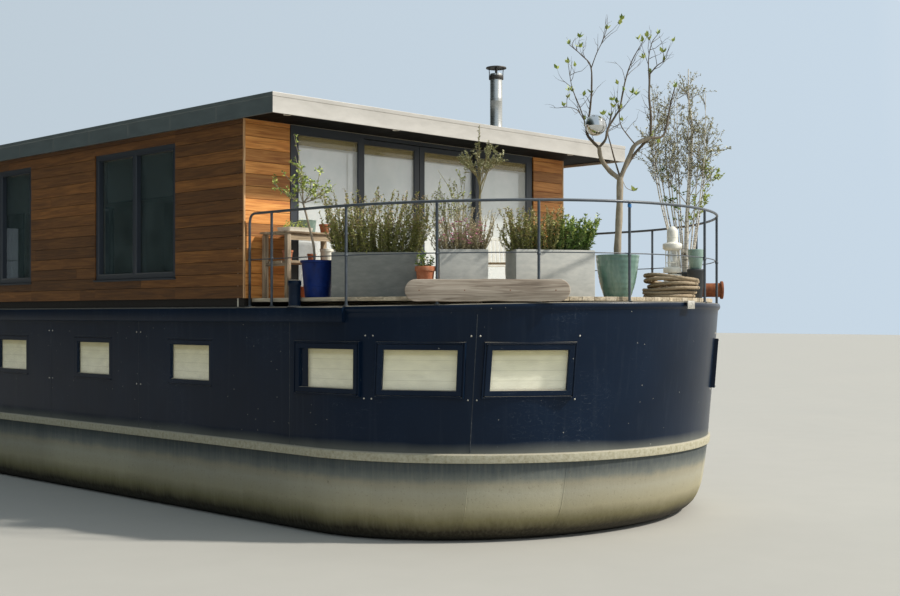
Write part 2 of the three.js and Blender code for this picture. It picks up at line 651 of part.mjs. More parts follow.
const troughs = () => {
  const { depth, wall, soilBelow } = TROUGH;
  for (const { name, x, y, facing, length, height, growth } of TROUGHS) {
    const [l, d] = [length / 2, depth / 2];
    const room = block(-l + wall, l - wall, -d + wall, d - wall, height - soilBelow, height + 1);
    const trough = add(`trough_${name}`, cut(block(-l, l, -d, d, 0, height), room), greySlab);
    face(trough, x, y, BOARD_TOP + GAP, facing);
    const mass = new THREE.IcosahedronGeometry(1, 2).scale(l - 20, d + 60, growth / 2);
    mass.translate(0, 0, growth / 2);
    const above = cut(mass, block(-length, length, -depth * 2, depth * 2, -growth, 40));
    const growing = name === 'b' ? join(above, ...oliveTree()) : above;
    face(add(`shrubs_${name}`, growing, foliage), x, y, BOARD_TOP + height - 30, facing);
  }
};

// Level directions that the trees are drawn in: to port and forward, and to port and aft
const ACROSS = new THREE.Vector3(0.6996, -0.7145, 0);
const ALONG = new THREE.Vector3(0.7145, 0.6996, 0);

// Limbs: radius at the foot and at the tip, then points as across, along and height
const BARE_TREE = [
  [46, 40, [[0, 0], [0, 0, 3450], [23, 0, 3900], [34, 10, 4330]]],
  [32, 24, [[34, 10, 4310], [-90, 30, 4410], [-199, 0, 4555], [-230, -20, 4704]]],
  [20, 17, [[-230, -20, 4690], [-300, 20, 4770], [-357, 70, 4852], [-370, 120, 4960]]],
  [17, 14, [[-370, 120, 4950], [-330, 140, 5120], [-304, 120, 5380]]],
  [14, 7, [[-304, 120, 5370], [-314, 100, 5700], [-420, 100, 5840], [-579, 120, 5982]]],
  [20, 14, [[-230, -20, 4690], [-150, -30, 4790], [-120, 30, 4915], [-50, 60, 5040], [34, 60, 5170]]],
  [14, 7, [[34, 60, 5160], [98, 40, 5507], [180, 20, 5760], [309, 0, 5993]]],
  [30, 24, [[34, 10, 4310], [140, -30, 4577], [213, -60, 4724], [394, -80, 4810]]],
  [22, 12, [[394, -80, 4800], [394, -100, 5063], [373, -100, 5317], [383, -100, 5591]]],
  [11, 7, [[383, -100, 5580], [470, -100, 5680], [563, -80, 5740]]],
  [20, 9, [[394, -80, 4800], [563, 0, 4842], [626, 40, 5063], [669, 60, 5275], [720, 80, 5450]]],
];
const TUB_TREE = [
  [17, 12, [[-40, 0], [-40, 0, 3330], [-120, 0, 3800], [-180, 0, 4030]]],
  [8, 5, [[-180, 0, 4015], [-330, 20, 4180], [-420, -120, 4400]]],
  [8, 5, [[-180, 0, 4015], [-250, 50, 4450], [-310, 100, 4880]]],
  [8, 5, [[-180, 0, 4015], [0, 60, 4200], [100, 100, 4360]]],
];
const BIRCH = [
  [34, 22, [[0, 0], [0, 0, 3250], [11, 0, 3836], [35, 0, 4318]]],
  [22, 8, [[35, 0, 4300], [71, 0, 4920], [84, 0, 5280], [59, 20, 5520], [35, 0, 5760], [35, 0, 6080]]],
  [14, 7, [[0, 0, 3300], [-200, 50, 3900], [-320, 100, 4500], [-460, 150, 5100]]],
  [14, 7, [[0, 0, 3300], [-100, -100, 3900], [-140, -160, 4600], [-120, -200, 5500]]],
  [12, 6, [[0, 0, 3300], [120, 100, 3900], [220, 160, 4500], [300, 200, 5100]]],
];

// The first point of a tree is at the height of its soil
const tree = (x, y, soil, limbs) => {
  const rods = limbs.flatMap(([footRadius, tipRadius, points]) => {
    const places = points.map(([across, along, z = soil]) =>
      new THREE.Vector3(x, y, z).addScaledVector(ACROSS, across).addScaledVector(ALONG, along)
    );
    const radii = places.map((_, i) => mix(footRadius, tipRadius, i / (places.length - 1)));
    // each length after the first starts a little inside the one before
    return places.slice(1).map((to, i) => {
      const from = i ? places[i].clone().lerp(to, -8 / places[i].distanceTo(to)) : places[i];
      return rod(from, to, radii[i], radii[i + 1]);
    });
  });
  return join(...rods);
};

const potsAndTrees = () => {
  const deck = BOARD_TOP + GAP;
  const [clayX, clayY] = [-2430, BOW_Y - 1280];
  const clay = [
    [0, 0], [80, 0], [108, 300], [122, 300], [124, 360], [108, 360], [102, 310], [0, 310], [0, 0],
  ];
  add('clay_pot', turned(clay, clayX, clayY, deck), terracotta);
  const [tubX, tubY] = [-2800, BOW_Y + 250];
  const tubWall = [
    [0, 0], [160, 0], [200, 430], [218, 440], [216, 462], [196, 460], [188, 410], [0, 410], [0, 0],
  ];
  add('blue_tub', turned(tubWall, tubX, tubY, deck), blueMoulding);
  const tubSoil = deck + 410 + GAP;
  add('tub_tree', tree(tubX, tubY, tubSoil, TUB_TREE), bark);
  const [potX, potY] = roundBow(82, 2560);
  const glazed = [
    [0, 0], [165, 0], [215, 160], [258, 430], [268, 520], [240, 520], [230, 440], [0, 440], [0, 0],
  ];
  add('green_pot', turned(glazed, potX, potY, deck, 24), greenGlaze);
  const soil = deck + 440 + GAP;
  add('bare_tree', tree(potX, potY, soil, BARE_TREE), bark);
  const ball = new THREE.IcosahedronGeometry(130, 3).translate(potX - 212, potY + 173, 4964);
  add('mirror_ball', ball, mirrorSilver);
  const [darkX, darkY] = roundBow(123.6, 2860);
  const stacked = [
    [0, 0], [85, 0], [118, 400], [76, 412], [100, 545], [109, 655], [104, 665], [90, 625], [0, 620], [0, 0],
  ];
  add('dark_pot', turned(stacked, darkX, darkY, deck), dustyPlastic);
  const [birchX, birchY] = roundBow(137.7, 2810);
  const tub = [[0, 0], [170, 0], [215, 380], [190, 380], [180, 330], [0, 330], [0, 0]];
  add('birch_tub', turned(tub, birchX, birchY, deck), dustyPlastic);
  add('white_birch', tree(birchX, birchY, deck + 330 + GAP, BIRCH), whitePaint);
};

// Deck gear at the bow: lantern, coiled rope, rusted roller, and the wear plate over the stem
const bowGear = () => {
  const [lanternX, lanternY] = roundBow(124.5, 2550);
  const lantern = [
    [0, 0], [128, 0], [128, 330], [60, 340], [60, 350], [122, 356], [122, 420], [90, 436],
    [90, 660], [130, 680], [130, 745], [72, 765], [72, 930], [34, 975], [0, 985], [0, 0],
  ];
  add('lantern', turned(lantern, lanternX, lanternY, BOARD_TOP + GAP, 16), whitePaint);
  const [coilX, coilY] = roundBow(104, 2700);
  const coil = [[200, 0], [352, 0], [368, 150], [345, 290], [212, 290], [188, 150], [200, 0]];
  add('rope_coil', turned(coil, coilX, coilY, BOARD_TOP + GAP, 24), ropeFibre);
  const [drumX, drumY] = roundBow(130, 3060);
  const flanged = [
    [0, 0], [122, 0], [122, 34], [96, 40], [96, 330], [122, 336], [122, 370], [0, 370], [0, 0],
  ];
  const drum = turned(flanged, 0, 0, -185, 18).rotateX(Math.PI / 2);
  face(add('roller_drum', drum, rust), drumX, drumY, BOARD_TOP + 122 + 3, 130);
  const plate = join(block(-83, 83, -30, 12, 0, 12), block(-83, 83, -42, -30, -88, 12));
  const [plateX, plateY] = roundBow(94, HALF_BEAM + 1);
  face(add('stem_fairlead', plate, stainless), plateX, plateY, DECK_Z + SHEER + 1, 94);
};

// Potting bench: top, lower shelf and four legs, against the front wall
const pottingBench = () => {
  const [x0, x1, y0, y1, top] = [-2990, -1900, FRONT_Y - 600, FRONT_Y - 40, 3700];
  const leg = (x, y) => block(x, x + 60, y, y + 60, BOARD_TOP + GAP, top - 20);
  const legs = [leg(x0 + 30, y0 + 20), leg(x1 - 90, y0 + 20), leg(x0 + 30, y1 - 80), leg(x1 - 90, y1 - 80)];
  const shelf = block(x0 + 40, x1 - 40, y0 + 30, y1 - 30, 3300, 3330);
  add('potting_bench', join(block(x0, x1, y0, y1, top - 38, top), shelf, ...legs), weatheredTimber);
};

hull();
decks();
walls();
frontGlazing();
cabinWindows();
rearDoor();
roof();
flue();
rails();
nameBoard();
troughs();
potsAndTrees();
bowGear();
pottingBench();

export default group;
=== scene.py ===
"""Dresses the houseboat's solids: plating, cladding, glazing, rails, planters and trees."""

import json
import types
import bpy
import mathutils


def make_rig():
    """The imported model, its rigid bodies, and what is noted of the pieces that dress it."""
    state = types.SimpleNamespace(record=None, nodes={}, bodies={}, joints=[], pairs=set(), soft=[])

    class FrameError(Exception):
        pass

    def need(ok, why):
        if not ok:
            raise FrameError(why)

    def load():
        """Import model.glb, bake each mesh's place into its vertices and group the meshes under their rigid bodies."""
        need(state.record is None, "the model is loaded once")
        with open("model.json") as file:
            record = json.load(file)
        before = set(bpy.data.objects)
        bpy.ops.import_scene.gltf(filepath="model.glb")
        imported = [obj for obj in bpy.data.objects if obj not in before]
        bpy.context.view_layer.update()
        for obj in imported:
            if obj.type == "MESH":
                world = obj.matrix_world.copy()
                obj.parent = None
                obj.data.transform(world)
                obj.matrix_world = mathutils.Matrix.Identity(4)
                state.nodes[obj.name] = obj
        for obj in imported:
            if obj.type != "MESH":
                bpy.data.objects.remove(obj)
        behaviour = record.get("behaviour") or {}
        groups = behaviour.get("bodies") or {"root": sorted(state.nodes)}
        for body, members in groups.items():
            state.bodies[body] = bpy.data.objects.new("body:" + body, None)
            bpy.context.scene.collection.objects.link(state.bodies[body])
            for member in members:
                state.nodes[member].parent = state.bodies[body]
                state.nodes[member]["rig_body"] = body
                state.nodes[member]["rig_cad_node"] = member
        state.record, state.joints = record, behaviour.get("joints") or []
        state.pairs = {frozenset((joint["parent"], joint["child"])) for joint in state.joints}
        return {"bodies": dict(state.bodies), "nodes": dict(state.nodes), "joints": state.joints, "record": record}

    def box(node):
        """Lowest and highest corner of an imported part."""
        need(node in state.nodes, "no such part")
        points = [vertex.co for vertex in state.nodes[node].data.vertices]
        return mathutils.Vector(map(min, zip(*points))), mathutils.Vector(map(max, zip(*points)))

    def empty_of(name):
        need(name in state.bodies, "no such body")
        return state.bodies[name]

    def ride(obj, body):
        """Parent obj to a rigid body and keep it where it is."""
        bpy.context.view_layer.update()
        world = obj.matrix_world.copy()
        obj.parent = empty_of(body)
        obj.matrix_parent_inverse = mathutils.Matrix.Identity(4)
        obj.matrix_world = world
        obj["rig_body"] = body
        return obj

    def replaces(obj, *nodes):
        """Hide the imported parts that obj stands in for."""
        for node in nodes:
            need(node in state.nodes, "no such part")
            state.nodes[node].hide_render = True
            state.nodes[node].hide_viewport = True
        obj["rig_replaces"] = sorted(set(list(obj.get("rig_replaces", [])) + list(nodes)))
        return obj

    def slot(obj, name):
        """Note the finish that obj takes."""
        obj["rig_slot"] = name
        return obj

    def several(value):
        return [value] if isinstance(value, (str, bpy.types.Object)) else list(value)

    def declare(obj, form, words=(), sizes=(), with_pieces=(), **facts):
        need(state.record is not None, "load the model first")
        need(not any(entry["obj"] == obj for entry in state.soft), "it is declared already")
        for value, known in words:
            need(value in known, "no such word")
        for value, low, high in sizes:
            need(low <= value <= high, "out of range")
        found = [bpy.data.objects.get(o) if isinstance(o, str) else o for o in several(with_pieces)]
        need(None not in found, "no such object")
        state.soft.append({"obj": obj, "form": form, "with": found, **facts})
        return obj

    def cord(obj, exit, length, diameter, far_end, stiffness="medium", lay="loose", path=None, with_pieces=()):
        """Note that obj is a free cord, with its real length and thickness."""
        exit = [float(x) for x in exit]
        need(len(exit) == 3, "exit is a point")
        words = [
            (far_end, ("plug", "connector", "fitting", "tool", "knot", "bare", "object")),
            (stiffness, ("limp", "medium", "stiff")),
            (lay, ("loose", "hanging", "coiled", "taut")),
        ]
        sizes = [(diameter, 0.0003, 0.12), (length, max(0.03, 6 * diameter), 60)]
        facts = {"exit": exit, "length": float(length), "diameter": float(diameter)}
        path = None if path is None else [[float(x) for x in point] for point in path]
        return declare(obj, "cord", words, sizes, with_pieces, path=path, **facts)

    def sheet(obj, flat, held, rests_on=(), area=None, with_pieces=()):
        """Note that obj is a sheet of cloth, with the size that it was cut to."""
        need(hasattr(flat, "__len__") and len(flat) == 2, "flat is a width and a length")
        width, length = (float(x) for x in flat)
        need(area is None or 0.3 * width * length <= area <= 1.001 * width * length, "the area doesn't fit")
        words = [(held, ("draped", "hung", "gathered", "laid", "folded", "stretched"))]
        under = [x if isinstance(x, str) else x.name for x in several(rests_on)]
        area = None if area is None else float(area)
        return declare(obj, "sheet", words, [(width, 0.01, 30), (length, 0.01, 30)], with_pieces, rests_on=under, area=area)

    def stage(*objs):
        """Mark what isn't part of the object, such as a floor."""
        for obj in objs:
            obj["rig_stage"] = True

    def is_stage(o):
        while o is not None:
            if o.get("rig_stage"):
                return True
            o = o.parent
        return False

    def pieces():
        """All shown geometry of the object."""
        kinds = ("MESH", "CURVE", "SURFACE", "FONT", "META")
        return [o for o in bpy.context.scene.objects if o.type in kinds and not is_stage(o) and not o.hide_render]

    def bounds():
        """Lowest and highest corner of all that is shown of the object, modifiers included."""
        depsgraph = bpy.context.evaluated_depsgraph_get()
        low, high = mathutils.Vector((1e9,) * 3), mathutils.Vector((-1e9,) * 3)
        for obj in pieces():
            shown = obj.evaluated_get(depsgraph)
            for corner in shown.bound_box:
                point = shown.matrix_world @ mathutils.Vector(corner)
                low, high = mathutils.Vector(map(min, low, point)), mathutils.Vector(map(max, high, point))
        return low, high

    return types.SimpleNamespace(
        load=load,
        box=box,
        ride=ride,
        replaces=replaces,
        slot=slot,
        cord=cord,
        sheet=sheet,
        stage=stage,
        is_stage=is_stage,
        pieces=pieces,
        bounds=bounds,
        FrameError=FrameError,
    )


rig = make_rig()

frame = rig.load()
CAD_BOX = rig.bounds()

import functools
import json
import math
import random

import bmesh
import bpy
from mathutils import Matrix, Vector

bl_info = {
    "name": "Houseboat",
    "version": (1, 0, 0),
    "blender": (4, 5, 0),
    "location": "3D View > Sidebar > Houseboat",
    "description": "Builds the visible pieces of a steel barge houseboat around its solids",
    "category": "Object",
}

# Sizes in metres. +X is port, the bow points along -Y, the flat bottom stands at 0.
BOW_Y, STERN_Y = -6.816, 7.6
KNUCKLE_Z, DECK_Z, BOARD_TOP, SHEER = 0.936, 2.745, 2.855, 0.057
ON_DECK = BOARD_TOP + 0.0003
# Plating: height, half beam, reach of the bow, reach of the stern
PLATING = [
    (0.0, 3.010, 2.440, 1.650),
    (0.06, 3.095, 2.590, 1.790),
    (0.18, 3.140, 2.730, 1.930),
    (0.42, 3.150, 2.850, 2.050),
    (0.936, 3.155, 2.950, 2.150),
    (2.66, 3.155, 3.152, 2.370),
]
SIDES = ("starboard", "port")
PORT_Z, PORT_HALF_WIDTH, PORT_HALF_HEIGHT = 2.005, 0.5, 0.3
PORT_ANGLES, PORT_SIDE_Y = (5.6, 29.3, 52.9), (-4.3, -1.8, 0.7, 3.2, 5.7)
WALL_HALF, WALL, FRONT_Y, REAR_Y = 3.2, 0.18, -5.586, 6.0
WALL_FOOT, WALL_HEAD = 2.7453, 5.1497
ROOF_X, ROOF_Y = (-3.39, 3.75), (-6.423, 6.84)
ROOF_TOP, SOFFIT_Z = 5.34, 5.15
RAIL_LINE, RAIL_TOP, RAIL_RISE, RAIL_RADIUS = 3.14, 3.93, 0.045, 0.017
ROD_Z, ROD_RADIUS = 3.345, 0.007
STERN_RAIL_REACH = 2.356
BOW_POSTS, LASHED_POST = (11.2, 32.6, 54.0, 75.4, 104.6, 126.0, 147.4, 168.8), 75.4
TO_SUN = Vector((0.458, -0.586, 0.669))
VIEW_ACROSS, VIEW_ALONG = Vector((0.6996, -0.7145, 0)), Vector((0.7145, 0.6996, 0))


def linear(hex_colour):
    """The linear colour of an sRGB hex value."""
    parts = [int(hex_colour[i : i + 2], 16) / 255 for i in (1, 3, 5)]
    return (*(c / 12.92 if c <= 0.04045 else ((c + 0.055) / 1.055) ** 2.4 for c in parts), 1.0)


def feed(node, inputs):
    """Sets or links inputs. A node stands for its first output, and a hex value for its linear colour."""
    for name, value in inputs.items():
        slot = node.inputs[name.replace("_", " ") if isinstance(name, str) else name]
        if isinstance(value, bpy.types.Node):
            value = value.outputs[0]
        if isinstance(value, bpy.types.NodeSocket):
            node.id_data.links.new(value, slot)
        else:
            slot.default_value = linear(value) if isinstance(value, str) else value


def put(tree, kind, *inputs, stops=(), **named):
    """Adds one shader node: inputs in order, inputs by name with a capital, and settings in small letters."""
    node = tree.nodes.new("ShaderNode" + kind)
    for name, value in named.items():
        if name[0].islower():
            setattr(node, name, value)
    for k, (position, colour) in enumerate(stops):
        elements = node.color_ramp.elements
        while len(elements) < len(stops):
            elements.new(0.5)
        elements[k].position, elements[k].color = position, linear(colour)
    feed(node, dict(enumerate(inputs)))
    feed(node, {name: value for name, value in named.items() if name[0].isupper()})
    return node


def fresh(name, roughness, metallic=0.0, **surface):
    """A new material: what adds a node to it, and its shader with these values set."""
    material = bpy.data.materials.new(name)
    material.use_nodes = True
    tree = material.node_tree
    shader = tree.nodes["Principled BSDF"]
    feed(shader, {"Roughness": roughness, "Metallic": metallic, **surface})
    return material, functools.partial(put, tree), shader


def tinted(add, colour, change):
    """The colour, lighter or darker by the tint of each board, sheet or plate."""
    tint = add("Attribute", attribute_name="tint").outputs["Fac"]
    value = add("Math", tint, change, 1.0, operation="MULTIPLY_ADD")
    return add("HueSaturation", Color=colour, Value=value)


def clouded(add, colour, cloud, low, high):
    """The colour, varied from low to high brightness by a noise."""
    value = add("MapRange", cloud, 0.3, 0.7, low, high)
    return add("HueSaturation", Color=colour, Value=value)


def dusted(add, colour, start, share, dust):
    """The colour, with dust on what faces up."""
    up = add("SeparateXYZ", add("NewGeometry").outputs["Normal"]).outputs["Z"]
    return add("MixRGB", add("MapRange", up, start, 0.95, 0.0, share), colour, dust)


def patterned(name, stops, grain, bump=0.5, roughness=0.6, metallic=0.0, tint=0.25, dust=0.0, spread=0.12, **surface):
    """A mottled finish: colours, grain size in mm along x, y, z, relief in mm, and share of dust on top."""
    material, add, shader = fresh(name, roughness, metallic, **surface)
    place = add("TexCoord").outputs["Object"]
    sizes = grain if isinstance(grain, tuple) else (grain,) * 3
    scaled = add("Mapping", place, Scale=[1000 / size for size in sizes])
    fine = add("TexNoise", scaled, Scale=1.0, Detail=7.0, Roughness=0.62)
    both = add("Math", add("TexNoise", place, Scale=1.7, Detail=3.0), 0.35, operation="MULTIPLY")
    height = add("Math", fine, 0.65, both, operation="MULTIPLY_ADD")
    colour = tinted(add, add("ValToRGB", height, stops=stops), tint)
    if dust:
        colour = dusted(add, colour, 0.55, dust, "#a9a491")
    rough = add("MapRange", fine, 0.3, 0.7, max(0.02, roughness - spread), min(1, roughness + spread))
    relief = add("Bump", Height=fine, Distance=bump / 1000, Strength=0.8)
    feed(shader, {"Base Color": colour, "Roughness": rough, "Normal": relief})
    return material


def navy_gloss(name):
    """Alkyd gloss over welded steel plate: deep blue, silt low down, chips, scratches and rain runs."""
    material, add, shader = fresh(name, 0.36, Specular_IOR_Level=0.15)
    place = add("TexCoord").outputs["Object"]
    z = add("SeparateXYZ", place).outputs["Z"]
    cloud = add("TexNoise", place, Scale=0.9, Detail=5.0, Distortion=0.6)
    base = bpy.context.scene.houseboat_hull.paint
    deep, light = [c * 0.62 for c in base[:3]] + [1], [min(1, c * 1.45) for c in base[:3]] + [1]
    colour = add("MixRGB", cloud, deep, light)
    # rain runs: noise drawn out down the plate, about 60 mm wide and 2 m long
    runs = add("TexNoise", add("Mapping", place, Scale=(16, 16, 0.5)), Scale=1.0, Detail=4.0)
    colour = add("MixRGB", add("MapRange", runs, 0.55, 0.8, 0.0, 0.05), colour, "#69727a")
    # silt dust that fades out over the first 0.1 m above the band, with a ragged edge
    ragged = add("Math", cloud, -0.1, z, operation="MULTIPLY_ADD")
    dusty = add("MapRange", ragged, 1.12, 0.97, 0.0, 0.5)
    colour = add("MixRGB", dusty, colour, "#8b8b7c")
    # the rubbing band is caked with pale silt
    grit = add("TexNoise", place, Scale=22.0, Detail=8.0, Roughness=0.7)
    cake = add("ValToRGB", grit, stops=[(0.28, "#878067"), (0.45, "#a5a08a"), (0.7, "#bab6a2")])
    band_z = add("Math", grit, 0.016, z, operation="MULTIPLY_ADD")
    on_band = add("MapRange", band_z, 1.058, 1.04)
    colour = add("MixRGB", on_band, colour, cake)
    # chips and droppings: pale specks up to 15 mm across
    cells = add("TexVoronoi", place, Scale=8.0, Randomness=1.0)
    size = add("MapRange", add("SeparateColor", cells.outputs["Color"]), 0.25, 1.0, 0.0, 0.06)
    speck = add("Math", cells.outputs["Distance"], size, operation="LESS_THAN")
    colour = add("MixRGB", add("Math", speck, 0.75, operation="MULTIPLY"), colour, "#b9b8ad")
    # scratches: thin bright lines where a stretched ridge crosses its middle value
    stretched = add("Mapping", place, Scale=(2.2, 2.2, 7), Rotation=(0.3, 0.2, 0.4))
    ridge = add("TexNoise", stretched, Scale=1.6, Detail=2.0, Distortion=1.4)
    near = add("Math", ridge, 0.5, 0.0016, operation="COMPARE")
    line = add("Math", near, add("MapRange", cloud, 0.52, 0.66, 0.0, 0.28), operation="MULTIPLY")
    colour = dusted(add, add("MixRGB", line, colour, "#8f9aa2"), 0.6, 0.75, "#b3ab98")
    matt = add("Math", dusty, on_band, operation="MAXIMUM")
    # plate between its frames is a few mm out of true, about 0.5 m from hollow to hollow
    swell = add("Bump", Height=add("TexNoise", place, Scale=2.1, Detail=1.0), Distance=0.006, Strength=0.5)
    crust = add("Math", grit, on_band, operation="MULTIPLY")
    crusted = add("Bump", Height=crust, Distance=0.006, Strength=0.8, Normal=swell)
    peel = add("TexNoise", place, Scale=160.0, Detail=2.0)
    relief = add("Bump", Height=peel, Distance=0.0002, Strength=0.3, Normal=crusted)
    feed(shader, {"Base Color": colour, "Roughness": add("MapRange", matt, 0.0, 1.0, 0.3, 0.9), "Normal": relief})
    return material


def silted_plate(name):
    """Steel that the tide covers: dried silt over old paint and a tide line, browner and then near-black low down,
    where the dark is painted shade under the bilge.
    """
    material, add, shader = fresh(name, 0.85)
    place = add("TexCoord").outputs["Object"]
    z = add("SeparateXYZ", place).outputs["Z"]
    ragged = add("TexNoise", add("Mapping", place, Scale=(2.6, 2.6, 2.2)), Scale=1.0, Detail=7.0, Roughness=0.6)
    height = add("Math", ragged, -0.13, z, operation="MULTIPLY_ADD")
    # the first stops, near-black along the foot, are painted shade under the bilge
    stops = [(0.0, "#171307"), (0.13, "#29230f"), (0.26, "#78714f"), (0.42, "#a29b7f"), (0.62, "#a29e8b"),
             (0.72, "#96917d"), (0.8, "#6c706a"), (0.9, "#4a5152"), (1.0, "#3d4546")]
    colour = add("ValToRGB", add("MapRange", height, -0.065, 0.875), stops=stops)
    runs = add("TexNoise", add("Mapping", place, Scale=(30, 30, 1.2)), Scale=1.0, Detail=5.0)
    colour = add("MixRGB", add("MapRange", runs, 0.42, 0.75, 0.0, 0.07), colour, "#c3bca3")
    grit = add("TexNoise", place, Scale=35.0, Detail=9.0, Roughness=0.72)
    colour = add("MixRGB", add("MapRange", grit, 0.42, 0.3, 0.0, 0.55), colour, "#4b3a24")
    # each plate took the silt a little differently
    colour = tinted(add, colour, 0.09)
    swell = add("Bump", Height=ragged, Distance=0.01, Strength=0.5)
    relief = add("Bump", Height=grit, Distance=0.003, Strength=0.7, Normal=swell)
    feed(shader, {"Base Color": colour, "Normal": relief})
    return material


def timber(name, dark, middle, light, roughness, board_change, wear=0.0, relief=1.5):
    """Sawn boards: growth rings drawn out along the board, fine pores, and a change from board to board."""
    material, add, shader = fresh(name, roughness)
    grain = add("Attribute", attribute_name="grain").outputs["Vector"]
    # rings show as bands about 9 mm apart that waver over half a metre of board
    rings = add("TexNoise", add("Mapping", grain, Scale=(1.6, 26, 26)), Scale=1.0, Detail=6.0, Distortion=1.2)
    pores = add("TexNoise", add("Mapping", grain, Scale=(9, 420, 420)), Scale=1.0, Detail=3.0)
    broad = add("TexNoise", grain, Scale=1.1, Detail=2.0)
    mixed = add("Math", rings, add("Math", pores, 0.25, -0.12, operation="MULTIPLY_ADD"), operation="ADD")
    colour = add("ValToRGB", mixed, stops=[(0.3, dark), (0.47, middle), (0.68, light)])
    tint = add("Attribute", attribute_name="tint").outputs["Fac"]
    change = add("Math", tint, board_change, 1.0, operation="MULTIPLY_ADD")
    value = add("Math", change, add("MapRange", broad, 0.3, 0.7, 0.88, 1.1), operation="MULTIPLY")
    colour = add("HueSaturation", Color=colour, Value=value)
    if wear:
        colour = add("MixRGB", add("MapRange", broad, 0.4, 0.7, 0.0, wear), colour, "#b9b2a3")
    relief = add("Bump", Height=mixed, Distance=relief / 1000, Strength=0.7)
    feed(shader, {"Base Color": colour, "Normal": relief})
    return material


def clear_pane(name, colour, alpha, film_colour="#dfe1dd"):
    """Float glass: it shows what is behind it; its pale mottle is a painted reflection of the sky, and the olive band
    at a cabin pane's top a painted reflection of the soffit.
    """
    material, add, shader = fresh(name, 0.03, Alpha=alpha, IOR=1.52, Specular_IOR_Level=1.0)
    # painted reflection: a pale mottle for the sky in the glass
    painted_sky_reflection = add("TexNoise", add("TexCoord").outputs["Object"], Scale=3.0, Detail=6.0)
    tone = add("ValToRGB", painted_sky_reflection, stops=[(0.3, colour), (0.75, film_colour)])
    z = add("SeparateXYZ", add("NewGeometry").outputs["Position"]).outputs["Z"]
    # painted reflection of the soffit: an olive band at the top of the cabin panes
    tone = add("MixRGB", add("MapRange", z, 4.892, 4.9, 0.0, 0.85), tone, "#ab9a5d")
    feed(shader, {"Base Color": tone})
    material.blend_method = "BLEND"
    return material


def blind_cloth(name):
    """Pleated polyester, sun-bleached: cream, greener near the top, a dark line of painted shade at a crease every
    quarter of its drop, and a faint glow of painted light.
    """
    # the faint emission is painted light, for sun through the glass
    material, add, shader = fresh(name, 0.8, Emission_Color=(1, 0.87, 0.5, 1), Emission_Strength=0.1)
    grain = add("Attribute", attribute_name="grain").outputs["Vector"]
    v = add("SeparateXYZ", grain).outputs["Y"]
    stops = [(0.0, "#faf8e6"), (0.35, "#f4f2dc"), (0.8, "#e9e5c4"), (0.86, "#cdc593"), (1.0, "#b9ae76")]
    colour = add("ValToRGB", v, stops=stops)
    # painted shade: a dark line at each crease
    along = add("Math", add("Math", v, 4.2, operation="MULTIPLY"), operation="FRACT")
    colour = add("MixRGB", add("MapRange", along, 0.1, 0.0, 0.0, 0.3), colour, "#8a8458")
    colour = clouded(add, colour, add("TexNoise", grain, Scale=5.0, Detail=4.0), 0.9, 1.08)
    weave = add("TexWave", grain, Scale=60.0, bands_direction="Y")
    feed(shader, {"Base Color": colour, "Normal": add("Bump", Height=weave, Distance=0.0008)})
    return material


def birch_bark(name):
    """Paper-white bark with dark flecks across the stem, 4 to 12 mm tall."""
    material, add, shader = fresh(name, 0.7)
    flecks_at = add("Mapping", add("TexCoord").outputs["Object"], Scale=(9, 9, 60))
    flecks = add("TexNoise", flecks_at, Scale=1.0, Detail=6.0)
    colour = add("ValToRGB", flecks, stops=[(0.36, "#4d463d"), (0.44, "#cfc8ba"), (0.8, "#ece8de")])
    feed(shader, {"Base Color": colour, "Normal": add("Bump", Height=flecks, Distance=0.002)})
    return material


def leaf_finish(name, dark, light):
    """Living leaves: satin, with a change from leaf to leaf and faint veins."""
    material, add, shader = fresh(name, 0.55, Sheen_Weight=0.15)
    tint = add("Attribute", attribute_name="tint").outputs["Fac"]
    colour = add("MixRGB", add("MapRange", tint, -1, 1), dark, light)
    veins = add("TexNoise", add("TexCoord").outputs["Object"], Scale=90.0, Detail=3.0)
    feed(shader, {"Base Color": clouded(add, colour, veins, 0.8, 1.2)})
    return material


def two(dark, light):
    """A dark and a light colour for a finish of an even pattern."""
    return [(0.3, dark), (0.7, light)]


